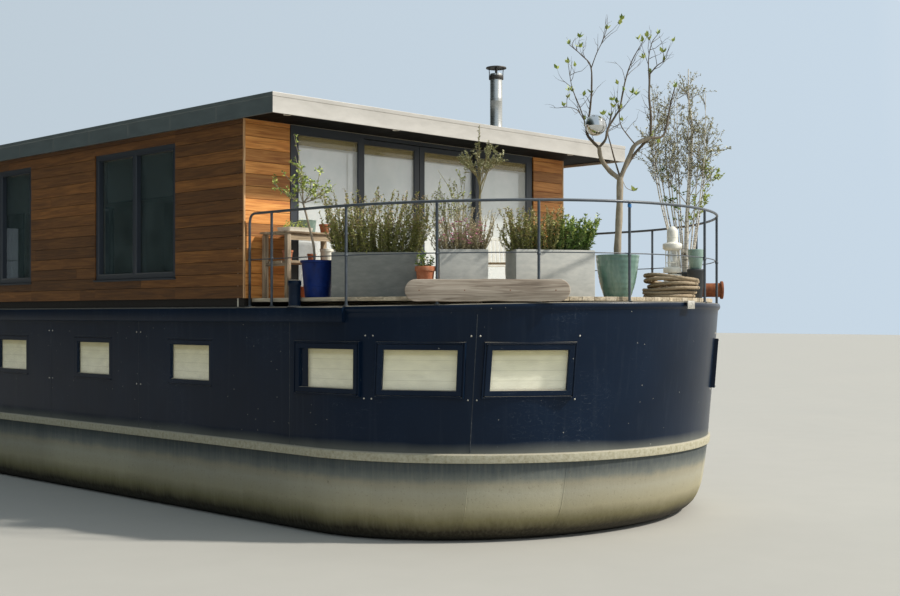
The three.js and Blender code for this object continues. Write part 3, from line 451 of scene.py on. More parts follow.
# Each finish: how it is made, the material's name, and its own values. Grain and relief are in mm.
FINISHES = {
    "navy": (navy_gloss, "navy_alkyd_gloss_on_steel"),
    "silt": (silted_plate, "silt_stained_steel_plate"),
    # Welds and studs lose their paint first, so that they show as pale lines and dots
    "bead": (patterned, "chipped_weld_bead", [(0.35, "#151b24"), (0.55, "#2a323b"), (0.75, "#8f928b")],
             (16, 16, 30), 0.4),
    "stud": (patterned, "scuffed_steel_stud", two("#9c968a", "#d8d4c8"), 12, 0.4, 0.45, {"tint": 0.2}),
    # Western red cedar, oiled: warm red-brown, strong change from board to board
    "cedar": (timber, "oiled_red_cedar", "#a4622c", "#bd7b39", "#d39550", 0.6, 0.42, {"relief": 0.5}),
    # A darker copy of the cedar for the starboard side: painted shade, for the side turned away from the sun
    "cedar_side": (timber, "darkened_red_cedar", "#55330f", "#663f16", "#7b5022", 0.65, 0.4, {"relief": 0.5}),
    "cedar_trim": (timber, "pale_cedar_corner", "#9c6d46", "#c79a6c", "#dfbd92", 0.6, 0.1),
    # Softwood left to the weather: silvered, with open pores
    "deck": (timber, "silvered_softwood", "#6e6353", "#a3947b", "#cbbda2", 0.85, 0.18, 0.5),
    "bench": (timber, "weathered_bench_timber", "#5d4a37", "#8f7a5f", "#b8a487", 0.8, 0.2, 0.3),
    "board": (timber, "driftwood_plank", "#76685a", "#9f9080", "#beb0a0", 0.85, 0.1, 0.3),
    # Oiled oak: honey brown with a soft sheen
    "floor": (timber, "oiled_oak_floor", "#8d7350", "#b59a72", "#cdb58e", 0.45, 0.12),
    # Powder coat on aluminium: even, satin, very fine texture
    "frames": (patterned, "grey_powder_coat", two("#252b33", "#333a43"), 2, 0.1, 0.42, {"dust": 0.35}),
    "glass": (clear_pane, "double_glazing", "#ccd1ce", 0.42),
    # A dark copy of the glazing for the side and rear windows: painted shade, with a dark painted reflection
    "side_glass": (clear_pane, "shaded_double_glazing", "#2c3a3c", 0.5, "#4a5a5c"),
    "port_glass": (clear_pane, "hull_window_glass", "#8f9a90", 0.08),
    "blind": (blind_cloth, "pleated_polyester_blind"),
    # Sheer woven polyester with daylight behind it: its faint glow is painted light standing in for that daylight
    "curtain": (patterned, "sheer_roller_blind", two("#e4e3de", "#edece8"), 1, 0.2, 0.9,
                {"Emission_Color": (0.84, 0.91, 0.95, 1), "Emission_Strength": 0.34}),
    # A dim grey copy of the roller blind for the side and rear windows: painted shade
    "shade": (patterned, "dusty_roller_blind", two("#7f8682", "#8e948f"), 1, 0.2, 0.9),
    # Brushed house paint: flat and even
    "pelmet": (patterned, "olive_painted_pelmet", two("#7d6c34", "#8d7b40"), 30, 0.2, 0.7),
    "plaster": (patterned, "painted_lining", two("#b9b3a4", "#cbc6b8"), 60, 0.2, 0.8),
    # Woven membrane: a matt black in the gaps between boards; the same black closes each flush pull's hollow as painted
    # shade
    "backing": (patterned, "black_breather_membrane", two("#15120f", "#221d18"), 20, 0.2, 0.9),
    # Welded bitumen sheet: matt grey with a mineral grit and patches of damp
    "membrane": (patterned, "roofing_membrane", [(0.25, "#55585a"), (0.5, "#6d7072"), (0.8, "#8a8b86")],
                 180, 0.8, 0.85),
    # Folded coated steel sheet: satin, streaked a little by rain; a darker copy for the starboard side is painted shade
    "fascia": (patterned, "folded_coated_sheet", [(0.25, "#a3a09a"), (0.55, "#b0ada7"), (0.8, "#b9b6b0")],
               (260, 260, 90), 0.3, 0.42, {"spread": 0.08}),
    "fascia_shade": (patterned, "grey_coated_sheet", [(0.25, "#4b5354"), (0.55, "#566061"), (0.8, "#636c6b")],
                     (260, 260, 90), 0.3, 0.42, {"spread": 0.08}),
    "joint": (patterned, "sealed_sheet_joint", two("#8c877d", "#9a958b"), 20, 0.1),
    # Ply soffit: its near-black colour is painted shade under the roof's overhang
    "soffit": (patterned, "stained_ply_soffit", two("#080706", "#100e0c"), (40, 300, 40), 0.3, 0.8,
               {"Specular_IOR_Level": 0.1}),
    "lamp": (patterned, "downlight_rim", two("#d8d4c8", "#f2efe6"), 20, 0.1, 0.4),
    # Stainless steel: brushed round the pipe, and dull with soot at the cap
    "flue": (patterned, "brushed_stainless", two("#a9aba9", "#d2d3d0"), (400, 400, 3), 0.05, 0.3, 0.9),
    "soot": (patterned, "sooty_stainless", two("#2b2a29", "#5b5854"), 60, 0.3, 0.55, 0.6),
    # Brush-painted steel tube: satin, with worn and dusty tops
    "rail": (patterned, "grey_blue_rail_paint", [(0.3, "#343b43"), (0.62, "#4a525a"), (0.8, "#6f7372")],
             70, 0.3, 0.4, 0.1, {"dust": 0.2}),
    "cord": (patterned, "blue_polypropylene_cord", two("#1d5f9e", "#3f8ecb"), 4, 0.6),
    # Cast fibre cement: matt and cloudy; a darker copy for trough a is painted shade, its face turned from the sun
    # under the rosemary
    "cement": (patterned, "fibre_cement", [(0.25, "#91928d"), (0.5, "#aeafaa"), (0.8, "#c6c4bc")],
               (140, 140, 50), 0.6, 0.82, {"dust": 0.2}),
    "damp_cement": (patterned, "damp_fibre_cement", [(0.25, "#6c6d68"), (0.5, "#83847e"), (0.8, "#a09e96")],
                    (140, 140, 50), 0.6, 0.8),
    "soil": (patterned, "potting_soil", [(0.3, "#1d140c"), (0.6, "#3a2a1b"), (0.85, "#5d4a34")], 18, 9.0, 0.95),
    # Moulded polyethylene: deep even blue with a waxy sheen
    "blue": (patterned, "blue_polyethylene", two("#081c50", "#12347e"), 90, 0.4, 0.5, {"Specular_IOR_Level": 0.25}),
    # Glazes: they pool dark in the hollows, and go thin and grey at the rim
    "celadon": (patterned, "celadon_glaze", [(0.25, "#33504a"), (0.5, "#5a7b70"), (0.78, "#94aa9c")],
                (120, 120, 420), 0.5, 0.18, {"spread": 0.08, "Coat_Weight": 0.5}),
    "teal": (patterned, "teal_glaze", two("#5f7f76", "#9db5aa"), (90, 90, 200), 0.4, 0.25, {"Coat_Weight": 0.4}),
    # Fired clay: matt orange with a bloom of lime
    "terracotta": (patterned, "terracotta", [(0.25, "#8a4a30"), (0.55, "#b06c4a"), (0.85, "#c9a287")], 70, 0.6, 0.9),
    # Bark: smooth and grey on the trunk, darker on branches, olive on young wood
    "bark": (patterned, "smooth_grey_bark", [(0.25, "#64594a"), (0.5, "#8f8472"), (0.8, "#b9af9c")],
             (30, 30, 90), 2.0, 0.85),
    "branch": (patterned, "dark_branch", two("#443b30", "#6f6353"), (20, 20, 60), 1.0, 0.85),
    "twig": (patterned, "young_twig", two("#665e40", "#94895f"), (12, 12, 30), 0.6, 0.8),
    "birch": (birch_bark, "white_birch_bark"),
    # Old enamel: cream white, chipped to rust in small spots
    "enamel": (patterned, "old_white_enamel", [(0.2, "#8a6a4a"), (0.32, "#dedbce"), (0.7, "#f6f4ea")], 60, 0.5, 0.45),
    # Spun and polished steel: a clean mirror
    "mirror": (patterned, "polished_steel_ball", two("#c9cbcb", "#d9dada"), 40, 0.02, 0.06, 1.0, {"spread": 0.03}),
    # Laid manila: fibrous and matt, with dirt between the strands
    "rope": (patterned, "laid_manila_rope", [(0.25, "#6b5b42"), (0.55, "#a4937a"), (0.85, "#d8cbac")], 14, 2.0, 0.95),
    # Steel: flaking orange rust on the roller, rubbed bright on the wear plate
    "rust": (patterned, "rusted_steel", [(0.2, "#3e2418"), (0.5, "#7d4527"), (0.8, "#a8683f")], 45, 1.8, 0.9),
    "bright": (patterned, "chain_polished_steel", two("#a8a59d", "#dcd9cf"), 25, 0.4, 0.35, 0.7),
    # Moulded polypropylene: near black under grey dust
    "plastic": (patterned, "dusty_dark_plastic", two("#2d3236", "#454b50"), 60, 0.5, 0.6, {"dust": 0.4}),
    "rosemary": (leaf_finish, "rosemary_needles", "#555a22", "#a2a553"),
    "tips": (leaf_finish, "rosemary_tips", "#86704a", "#b49d6c"),
    "grey_leaf": (leaf_finish, "grey_birch_leaves", "#7c7b5d", "#bdb995"),
    "olive_leaf": (leaf_finish, "olive_leaves", "#5c6034", "#aba878"),
    "lavender": (leaf_finish, "dry_lavender_heads", "#968a68", "#d8cca8"),
    "spring": (leaf_finish, "young_leaves", "#7b8f34", "#c6cf6c"),
    "dark_leaf": (leaf_finish, "evergreen_leaves", "#35501c", "#7b9a3e"),
    "petal": (leaf_finish, "pink_petals", "#b0577a", "#e0a3b8"),
    # Seamless paper: flat and even
    "pale_floor": (patterned, "pale_studio_floor", [(0.2, "#a6a49d"), (0.8, "#aeaca5")], 4000, 0.0, 0.9),
}


@functools.cache
def finish(name):
    """The finish of that name, made the first time that it is asked for."""
    maker, *values = FINISHES[name]
    extra = values.pop() if isinstance(values[-1], dict) else {}
    return maker(*values, **extra)


def quads(rows, count, closed=True):
    """Faces between rows of as many points each. Closed rows are rings."""
    return [(r * count + k, r * count + (k + 1) % count, (r + 1) * count + (k + 1) % count, (r + 1) * count + k)
            for r in range(rows - 1) for k in range(count if closed else count - 1)]


def caps(rows, count):
    """The faces that close the first and the last of such rings."""
    return [tuple(reversed(range(count))), tuple((rows - 1) * count + k for k in range(count))]


def around(turn, radius=1.0, z=0.0):
    """A place on a circle, the turn in radians."""
    return Vector((radius * math.cos(turn), radius * math.sin(turn), z))


def up(z):
    return Vector((0, 0, z))


def walk(path, side, run=0.0):
    """Walks a path: each point, the two directions across it there, and how far along it is."""
    last = len(path) - 1
    for i, centre in enumerate(path):
        ahead = (path[min(i + 1, last)] - path[max(i - 1, 0)]).normalized()
        side = (side - ahead * side.dot(ahead)).normalized()
        run += (centre - path[i - 1]).length if i else 0
        yield centre, side, ahead.cross(side), run


def wear(thing, width, angle):
    """Rounds a piece's edges so that they catch the light."""
    soft = thing.modifiers.new("worn_edges", "BEVEL")
    soft.width, soft.segments, soft.limit_method, soft.angle_limit = width, 2, "ANGLE", math.radians(angle)
    soft.harden_normals = True


def dress_node(name, finish_name, bevel=0.0):
    """Gives a carried-over solid its finish and worn edges."""
    node = frame["nodes"][name]
    node.data.materials.clear()
    node.data.materials.append(finish(finish_name))
    if bevel:
        wear(node, bevel, 30)


class Form:
    """Gathers the faces of one piece. Each point has a tint, and a place in its board's own grain."""

    BOX = ((0, 3, 2, 1), (4, 5, 6, 7), (0, 1, 5, 4), (1, 2, 6, 5), (2, 3, 7, 6), (3, 0, 4, 7))

    def __init__(self, seed=1):
        self.points, self.faces, self.tints, self.grains, self.slots = [], [], [], [], []
        self.chance = random.Random(seed)

    def take(self, points, faces, tint=0.0, slot=0, place=None, grain=None):
        first = len(self.points)
        self.points += [place @ Vector(p) for p in points] if place else [Vector(p) for p in points]
        self.faces += [tuple(first + i for i in face) for face in faces]
        self.tints += [tint] * len(points)
        self.grains += grain or [tuple(p) for p in points]
        self.slots += [slot] * len(faces)

    def box(self, low, high, tint=None, slot=0, place=None):
        points = [(x, y, z) for z in (low[2], high[2]) for x, y in
                  ((low[0], low[1]), (high[0], low[1]), (high[0], high[1]), (low[0], high[1]))]
        order = sorted(range(3), key=lambda k: low[k] - high[k])
        shift = [self.chance.uniform(0, 40) for _ in range(3)]
        grain = [tuple(p[k] + shift[k] for k in order) for p in points]
        tint = self.chance.uniform(-1, 1) if tint is None else tint
        self.take(points, self.BOX, tint, slot, place, grain)

    def tube(self, path, radii, sides=8, slot=0, place=None):
        path = [Vector(p) for p in path]
        radii = radii if isinstance(radii, (list, tuple)) else [radii] * len(path)
        points, grain = [], []
        side = (path[1] - path[0]).orthogonal().normalized()
        for radius, (centre, side, other, run) in zip(radii, walk(path, side, self.chance.uniform(0, 30))):
            for k in range(sides):
                turn = 2 * math.pi * k / sides
                points.append(centre + (side * math.cos(turn) + other * math.sin(turn)) * radius)
                grain.append((run, radius * math.cos(turn), radius * math.sin(turn)))
        self.take(points, quads(len(path), sides) + caps(len(path), sides), 0.0, slot, place, grain)

    def limb(self, points, steps, thick, loss, sides):
        """A branch that tapers: its smooth line, for twigs and leaves to grow on."""
        line = smooth_line(points, steps)
        self.tube(line, [thick - loss * i / len(line) for i in range(len(line))], sides)
        return line

    def turned(self, profile, at=(0, 0, 0), sides=32, tint=0.0, slot=0, place=None):
        """A lathe form: the profile is radius and height, from the foot's middle to where it ends."""
        points, rings, faces = [], [], []
        for radius, height in profile:
            count = 1 if radius < 1e-5 else sides
            rings.append((len(points), count))
            points += [around(2 * math.pi * k / sides, radius, height) + Vector(at) for k in range(count)]
        for (a, many_a), (b, many_b) in zip(rings, rings[1:]):
            for k in range(sides):
                n = (k + 1) % sides
                faces.append(tuple(dict.fromkeys((a + k % many_a, a + n % many_a, b + n % many_b, b + k % many_b))))
        self.take(points, [f for f in faces if len(f) > 2], tint, slot, place)

    def stepped(self, steps, place=None, slot=0, closed=False):
        """Rectangular rings, each inside or outside the last: half width, half height and depth."""
        points = [(sx * w, sy * h, out) for w, h, out in steps for sx, sy in ((-1, -1), (1, -1), (1, 1), (-1, 1))]
        self.take(points, quads(len(steps), 4) + caps(len(steps), 4)[1:] * closed, 0.0, slot, place)

    def rings(self, rings, capped=True, tint=0.0, slot=0):
        """Closed rings of as many points each, joined one to the next."""
        size = len(rings), len(rings[0])
        self.take([p for ring in rings for p in ring], quads(*size) + caps(*size) * capped, tint, slot)

    def cloth(self, across, down, point, slot=0, place=None, grain=None):
        """Fields in rows: a function gives the point at each column and row."""
        nodes = [(c, r) for r in range(down + 1) for c in range(across + 1)]
        faces = quads(down + 1, across + 1, closed=False)
        self.take([point(*node) for node in nodes], faces, 0, slot, place, grain and [grain(*node) for node in nodes])

    def leaf(self, base, ahead, length, width, tint, slot=0, fold=0.25):
        """One leaf of two halves folded at its rib, pointed at both ends."""
        ahead = ahead.normalized()
        across = ahead.cross(up(1))
        across = across.normalized() if across.length > 0.05 else Vector((1, 0, 0))
        across = (Matrix.Rotation(self.chance.uniform(-0.9, 0.9), 3, ahead) @ across) * width / 2
        lift = across.cross(ahead) * fold
        middle = base + ahead * length * 0.45
        points = [base, middle + across + lift, base + ahead * length, middle - across + lift]
        self.take(points, ((0, 1, 2), (0, 2, 3)), tint, slot)

    def piece(self, name, *finishes, body="hull", replaces=(), slot=None, sharp=35, bevel=0.0, even=True):
        """Makes the object, which rides on its body. Even: a closed form, its normals turned out."""
        mesh = bpy.data.meshes.new(name)
        if not even:
            # no twig or leaf reaches past the solids' own box
            self.points = [[min(max(c, low), high) for c, low, high in zip(p, *CAD_BOX)] for p in self.points]
        mesh.from_pydata([tuple(p) for p in self.points], [], self.faces)
        mesh.attributes.new("tint", "FLOAT", "POINT").data.foreach_set("value", self.tints)
        flat = [c for grain in self.grains for c in grain]
        mesh.attributes.new("grain", "FLOAT_VECTOR", "POINT").data.foreach_set("vector", flat)
        for finish_name in finishes:
            mesh.materials.append(finish(finish_name))
        mesh.polygons.foreach_set("material_index", self.slots)
        if even:
            shell = bmesh.new()
            shell.from_mesh(mesh)
            bmesh.ops.recalc_face_normals(shell, faces=shell.faces)
            shell.to_mesh(mesh)
            shell.free()
        mesh.shade_smooth()
        mesh.set_sharp_from_angle(angle=math.radians(sharp))
        thing = bpy.data.objects.new(name, mesh)
        bpy.context.scene.collection.objects.link(thing)
        if bevel:
            wear(thing, bevel, 40)
        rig.ride(thing, body)
        if replaces:
            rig.replaces(thing, *replaces)
        if slot:
            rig.slot(thing, slot)
        return thing


def smooth_line(points, steps=6):
    """A smooth line through the points."""
    points = [Vector(p) for p in points]
    ends = [points[0] * 2 - points[1], *points, points[-1] * 2 - points[-2]]
    line = []
    for i in range(1, len(points)):
        a, b, c, d = ends[i - 1 : i + 3]
        for k in range(steps):
            t = k / steps
            square, cube = 2 * a - 5 * b + 4 * c - d, 3 * b - a - 3 * c + d
            line.append(0.5 * (2 * b + (c - a) * t + square * t**2 + cube * t**3))
    return [*line, points[-1]]


def facing(x, y, z, degrees):
    """A place turned to face away from the bow's centre: x runs along the piece, -y is its front."""
    return Matrix.Translation((x, y, z)) @ Matrix.Rotation(math.radians(degrees - 90), 4, "Z")


def round_bow(degrees, distance, z=0.0):
    """A place at this distance from the bow's centre, from starboard at 0 round to port at 180 degrees."""
    turn = math.radians(degrees)
    return Vector((-distance * math.cos(turn), BOW_Y - distance * math.sin(turn), z))


def plating(z):
    """Half beam and the reach of bow and stern at a height: a smooth bilge, then straight flare."""
    if z >= KNUCKLE_Z:
        (z0, *low), (z1, *high) = PLATING[-2:]
        t = min(1, (z - z0) / (z1 - z0))
        return [a + (b - a) * t for a, b in zip(low, high)]
    rows = PLATING[:-1]
    k = max(i for i, row in enumerate(rows[:-1]) if row[0] <= max(z, 0))
    step = rows[k + 1][0] - rows[k][0]
    t = (z - rows[k][0]) / step
    found = []
    for c in (1, 2, 3):
        gaps = [(b[c] - a[c]) / (b[0] - a[0]) for a, b in zip(rows, rows[1:])]
        slopes = [gaps[0], *(2 * p * q / (p + q) for p, q in zip(gaps, gaps[1:])), gaps[-1]]
        found.append(rows[k][c] * (2 * t**3 - 3 * t**2 + 1) + rows[k + 1][c] * (3 * t**2 - 2 * t**3)
                     + step * (slopes[k] * (t**3 - 2 * t**2 + t) + slopes[k + 1] * (t**3 - t**2)))
    return found


def on_hull(column, z, out=0.0, sheer=0.0):
    """A point of the hull: its column is a part of the outline and where it is along that part."""
    part, where = column
    beam, bow, stern = (r + out for r in plating(z))
    if part in SIDES:
        return Vector((beam if part == "port" else -beam, where, z))
    turn = math.radians(where)
    if part == "bow":
        return Vector((-beam * math.cos(turn), BOW_Y - bow * math.sin(turn), z + sheer * SHEER * math.sin(turn) ** 2))
    return Vector((beam * math.cos(turn), STERN_Y + stern * math.sin(turn), z))


BEAM = PLATING[-1][1]
# The bow's windows: their middles in degrees, and half their width
BOW_WINDOWS = [a for angle in PORT_ANGLES for a in (angle, 180 - angle)]
PORT_TURN = math.degrees(math.asin(PORT_HALF_WIDTH / BEAM))
# Seams between plates, in degrees round the bow and along the sides. The tall ones run up to the gunwale
BOW_SEAMS, TALL_SEAMS = (19.1, 41.2, 62.9, 138.8, 117.1, 160.9), (41.2, 138.8)
SIDE_SEAMS = (-6.456, -3.05, -0.55, 1.95, 4.45, 6.95)


def hull_columns():
    """The outline's columns, counterclockwise from the starboard shoulder, with the windows' edges among them."""
    edges = [a + s * PORT_TURN for a in BOW_WINDOWS for s in (-1, 1)]
    bow = sorted({0.0, 180.0, *(e for e in edges if 0 < e < 180), *(i * 1.5 for i in range(121))})
    bow = [a for a in bow if a in edges or min(abs(a - e) for e in edges) > 0.4 or a in (0.0, 180.0)]
    corners = [y + s * PORT_HALF_WIDTH for y in PORT_SIDE_Y for s in (-1, 1)]
    side = sorted({*corners, BOW_Y + 0.19, *(BOW_Y + 0.6 * i for i in range(1, 24))})
    columns = [("bow", a) for a in bow] + [("port", y) for y in side]
    return columns + [("stern", 3.0 * i) for i in range(61)] + [("starboard", y) for y in reversed(side)]


def in_window(column, following):
    """Whether the plating between two columns is behind a window, so that it's cut there."""
    (part, a), (other, b) = column, following
    if part != other or part == "stern":
        return False
    middles, half = (BOW_WINDOWS, PORT_TURN) if part == "bow" else (PORT_SIDE_Y, PORT_HALF_WIDTH)
    return any(abs((a + b) / 2 - middle) < half for middle in middles)


def hull_windows():
    """The place of each hull window, square to the plating: x across, y up, z out."""
    places = []
    for part, where in [*(("bow", a) for a in BOW_WINDOWS), *((side, y) for y in PORT_SIDE_Y for side in SIDES)]:
        low, high = (on_hull((part, where), PORT_Z + s * 0.325) for s in (-1, 1))
        turn = math.radians({"bow": where, "port": 180, "starboard": 0}[part])
        across, rise = Vector((math.sin(turn), -math.cos(turn), 0)), (high - low).normalized()
        place = Matrix((across, rise, across.cross(rise))).transposed().to_4x4()
        places.append(Matrix.Translation((low + high) / 2) @ place)
    return places


def cut_sheet(x0, x1, z0, z1, holes):
    """The rectangles that are left of one rectangle when holes are cut from it."""
    cuts = sorted({x0, x1, *(x for hole in holes for x in hole[:2] if x0 < x < x1)})
    left = []
    for a, b in zip(cuts, cuts[1:]):
        foot = z0
        for hx0, hx1, hz0, hz1 in sorted(holes, key=lambda hole: hole[2]):
            if hx0 < (a + b) / 2 < hx1 and hz1 > foot and hz0 < z1:
                if hz0 > foot:
                    left.append((a, b, foot, hz0))
                foot = hz1
        if foot < z1:
            left.append((a, b, foot, z1))
    return left


class HullSettings(bpy.types.PropertyGroup):
    paint: bpy.props.FloatVectorProperty(
        name="Paint", description="Colour of the gloss paint on the topsides", subtype="COLOR", size=4,
        default=linear("#0b1b2e"), min=0, max=1)
    seam: bpy.props.FloatProperty(
        name="Weld width", description="Width of a weld bead", default=0.011, min=0.002, max=0.05, unit="LENGTH")
    stud: bpy.props.FloatProperty(
        name="Stud size", description="Diameter of the studs between the windows", default=0.021, min=0.005, max=0.06,
        unit="LENGTH")


class CabinSettings(bpy.types.PropertyGroup):
    cover: bpy.props.FloatProperty(
        name="Board cover", description="Height of cladding board that shows", default=0.16, min=0.05, max=0.3,
        unit="LENGTH")
    shadow_gap: bpy.props.FloatProperty(
        name="Shadow gap", description="Gap between cladding boards", default=0.005, min=0.002, max=0.02, unit="LENGTH")
    sheet: bpy.props.FloatProperty(
        name="Fascia sheet", description="Length of one fascia sheet", default=1.05, min=0.4, max=4, unit="LENGTH")


class DeckSettings(bpy.types.PropertyGroup):
    board: bpy.props.FloatProperty(
        name="Deck board", description="Width of a deck board with its gap", default=0.145, min=0.08, max=0.3,
        unit="LENGTH")
    gap: bpy.props.FloatProperty(
        name="Deck gap", description="Gap between deck boards", default=0.007, min=0.002, max=0.02, unit="LENGTH")
    rope: bpy.props.FloatProperty(
        name="Rope", description="Diameter of the coiled rope", default=0.046, min=0.02, max=0.06, unit="LENGTH")


class PlantSettings(bpy.types.PropertyGroup):
    stems: bpy.props.IntProperty(
        name="Stems", description="Stems for each metre of planter", default=190, min=20, max=400)
    needle: bpy.props.FloatProperty(
        name="Needle", description="Length of a shrub's needle leaves", default=0.03, min=0.01, max=0.1, unit="LENGTH")
    twigs: bpy.props.IntProperty(
        name="Twigs", description="Twigs on each limb of the bare tree", default=15, min=0, max=40)


class HOUSEBOAT_OT_stage(bpy.types.Operator):
    """Camera on the bank, a soft sun, a sky that is brighter on its side, and a pale floor"""

    bl_idname = "houseboat.stage"
    bl_label = "Stage"

    def execute(self, context):
        scene = context.scene
        lens = bpy.data.cameras.new("view_from_shore")
        lens.sensor_width, lens.lens, lens.shift_y, lens.clip_end = 36, 51.2, 17 / 900, 500
        camera = bpy.data.objects.new("view_from_shore", lens)
        camera.location = (-13.017, -18.872, 2.64)
        camera.rotation_euler = (math.pi / 2, 0, -math.radians(45.603))
        lamp = bpy.data.lights.new("soft_sun", "SUN")
        lamp.energy, lamp.angle, lamp.color = 4.2, math.radians(3), (1.0, 0.95, 0.87)
        sun = bpy.data.objects.new("soft_sun", lamp)
        sun.rotation_euler = TO_SUN.to_track_quat("Z", "Y").to_euler()
        for thing in (camera, sun):
            scene.collection.objects.link(thing)
        scene.camera = camera
        world = scene.world = bpy.data.worlds.new("pale_sky")
        world.use_nodes = True
        tree = world.node_tree
        # the open side, by the sun, is bright, and the starboard side looks at a dark bank
        view = put(tree, "TexCoord").outputs["Generated"]
        way = put(tree, "VectorMath", view, (0.37, -0.33, 0.08), operation="DOT_PRODUCT").outputs["Value"]
        stops = [(0.1, "#262b28"), (0.24, "#5d6768"), (0.36, "#b3c0ca"), (0.7, "#bccbd8"), (0.86, "#f4f3ee")]
        glow = put(tree, "ValToRGB", put(tree, "Math", way, 0.5, operation="ADD"), stops=stops)
        feed(tree.nodes["Background"], {"Color": glow, "Strength": 1.15})
        scene.view_settings.view_transform = "Standard"
        ground = Form()
        ground.take([(-150, -150, 0), (150, -150, 0), (150, 150, 0), (-150, 150, 0)], [(0, 1, 2, 3)])
        floor = ground.piece("studio_floor", "pale_floor")
        floor.parent = None
        del floor["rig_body"]
        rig.stage(floor)
        return {"FINISHED"}


class HOUSEBOAT_OT_rope(bpy.types.Operator):
    """Three-strand rope laid in a round coil on the foredeck"""

    bl_idname = "houseboat.rope"
    bl_label = "Coiled rope"

    def execute(self, context):
        thick = context.scene.houseboat_deck.rope
        low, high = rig.box("rope_coil")
        centre = (low + high) / 2
        pitch, middle, turns, steps = thick * 1.02, 0.278, 3, 90
        layers = int((high.z - low.z - 0.002) / pitch)
        path, chance, aside = [], random.Random(8), up(0)
        for layer in range(layers):
            # each layer winds out, and the next one winds back in, on top of it
            inner, outer = middle - thick * 1.04, middle + thick * 1.04
            start, end = (inner, outer) if layer % 2 == 0 else (outer, inner)
            last, aside = aside, Vector((chance.uniform(-0.022, 0.022), chance.uniform(-0.022, 0.022), 0))
            for k in range(turns * steps):
                share = k / (turns * steps)
                # the radius steps from turn to turn in a short part of each turn
                turn_no, inside = divmod(share * turns, 1)
                ease = min(1, inside / 0.35)
                ease = ease * ease * (3 - 2 * ease)
                radius = start + (end - start) * min(1, (turn_no - 1 + ease) / (turns - 1) if turn_no else 0)
                rise = pitch * ((share - 0.94) / 0.06) ** 2 if share > 0.94 and layer < layers - 1 else 0.0
                turn = 2 * math.pi * share * turns
                radius += 0.02 * math.sin(2 * turn + layer * 2.1) + 0.005 * math.sin(5 * turn) - 0.01 * (layer % 2)
                rise += 0.008 * layer * math.sin(turn + 0.8 + 0.9 * layer) + 0.004 * math.sin(3 * turn + layer)
                path.append(last.lerp(aside, min(1, share * 6)) + Vector((
                    centre.x + radius * math.cos(turn), centre.y + radius * math.sin(turn),
                    low.z + thick / 2 + layer * pitch + rise)))
        rope, points, grain, sides = Form(), [], [], 12
        for point, side, other, run in walk(path, up(1)):
            for k in range(sides):
                turn = 2 * math.pi * k / sides
                strand = abs(math.cos(1.5 * (turn - run * 34)))
                reach = thick / 2 * (0.64 + 0.36 * strand**0.55)
                points.append(point + (side * math.cos(turn) + other * math.sin(turn)) * reach)
                grain.append((run, turn, 0.0))
        rope.take(points, quads(len(path), sides) + caps(len(path), sides), grain=grain)
        laid = rope.piece("laid_rope", "rope", replaces=["rope_coil"], slot="rope_fibre", sharp=80)
        length = sum((b - a).length for a, b in zip(path, path[1:]))
        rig.cord(laid, exit=path[0], length=length, diameter=thick, far_end="bare", stiffness="medium", lay="coiled",
                path=path)
        return {"FINISHED"}


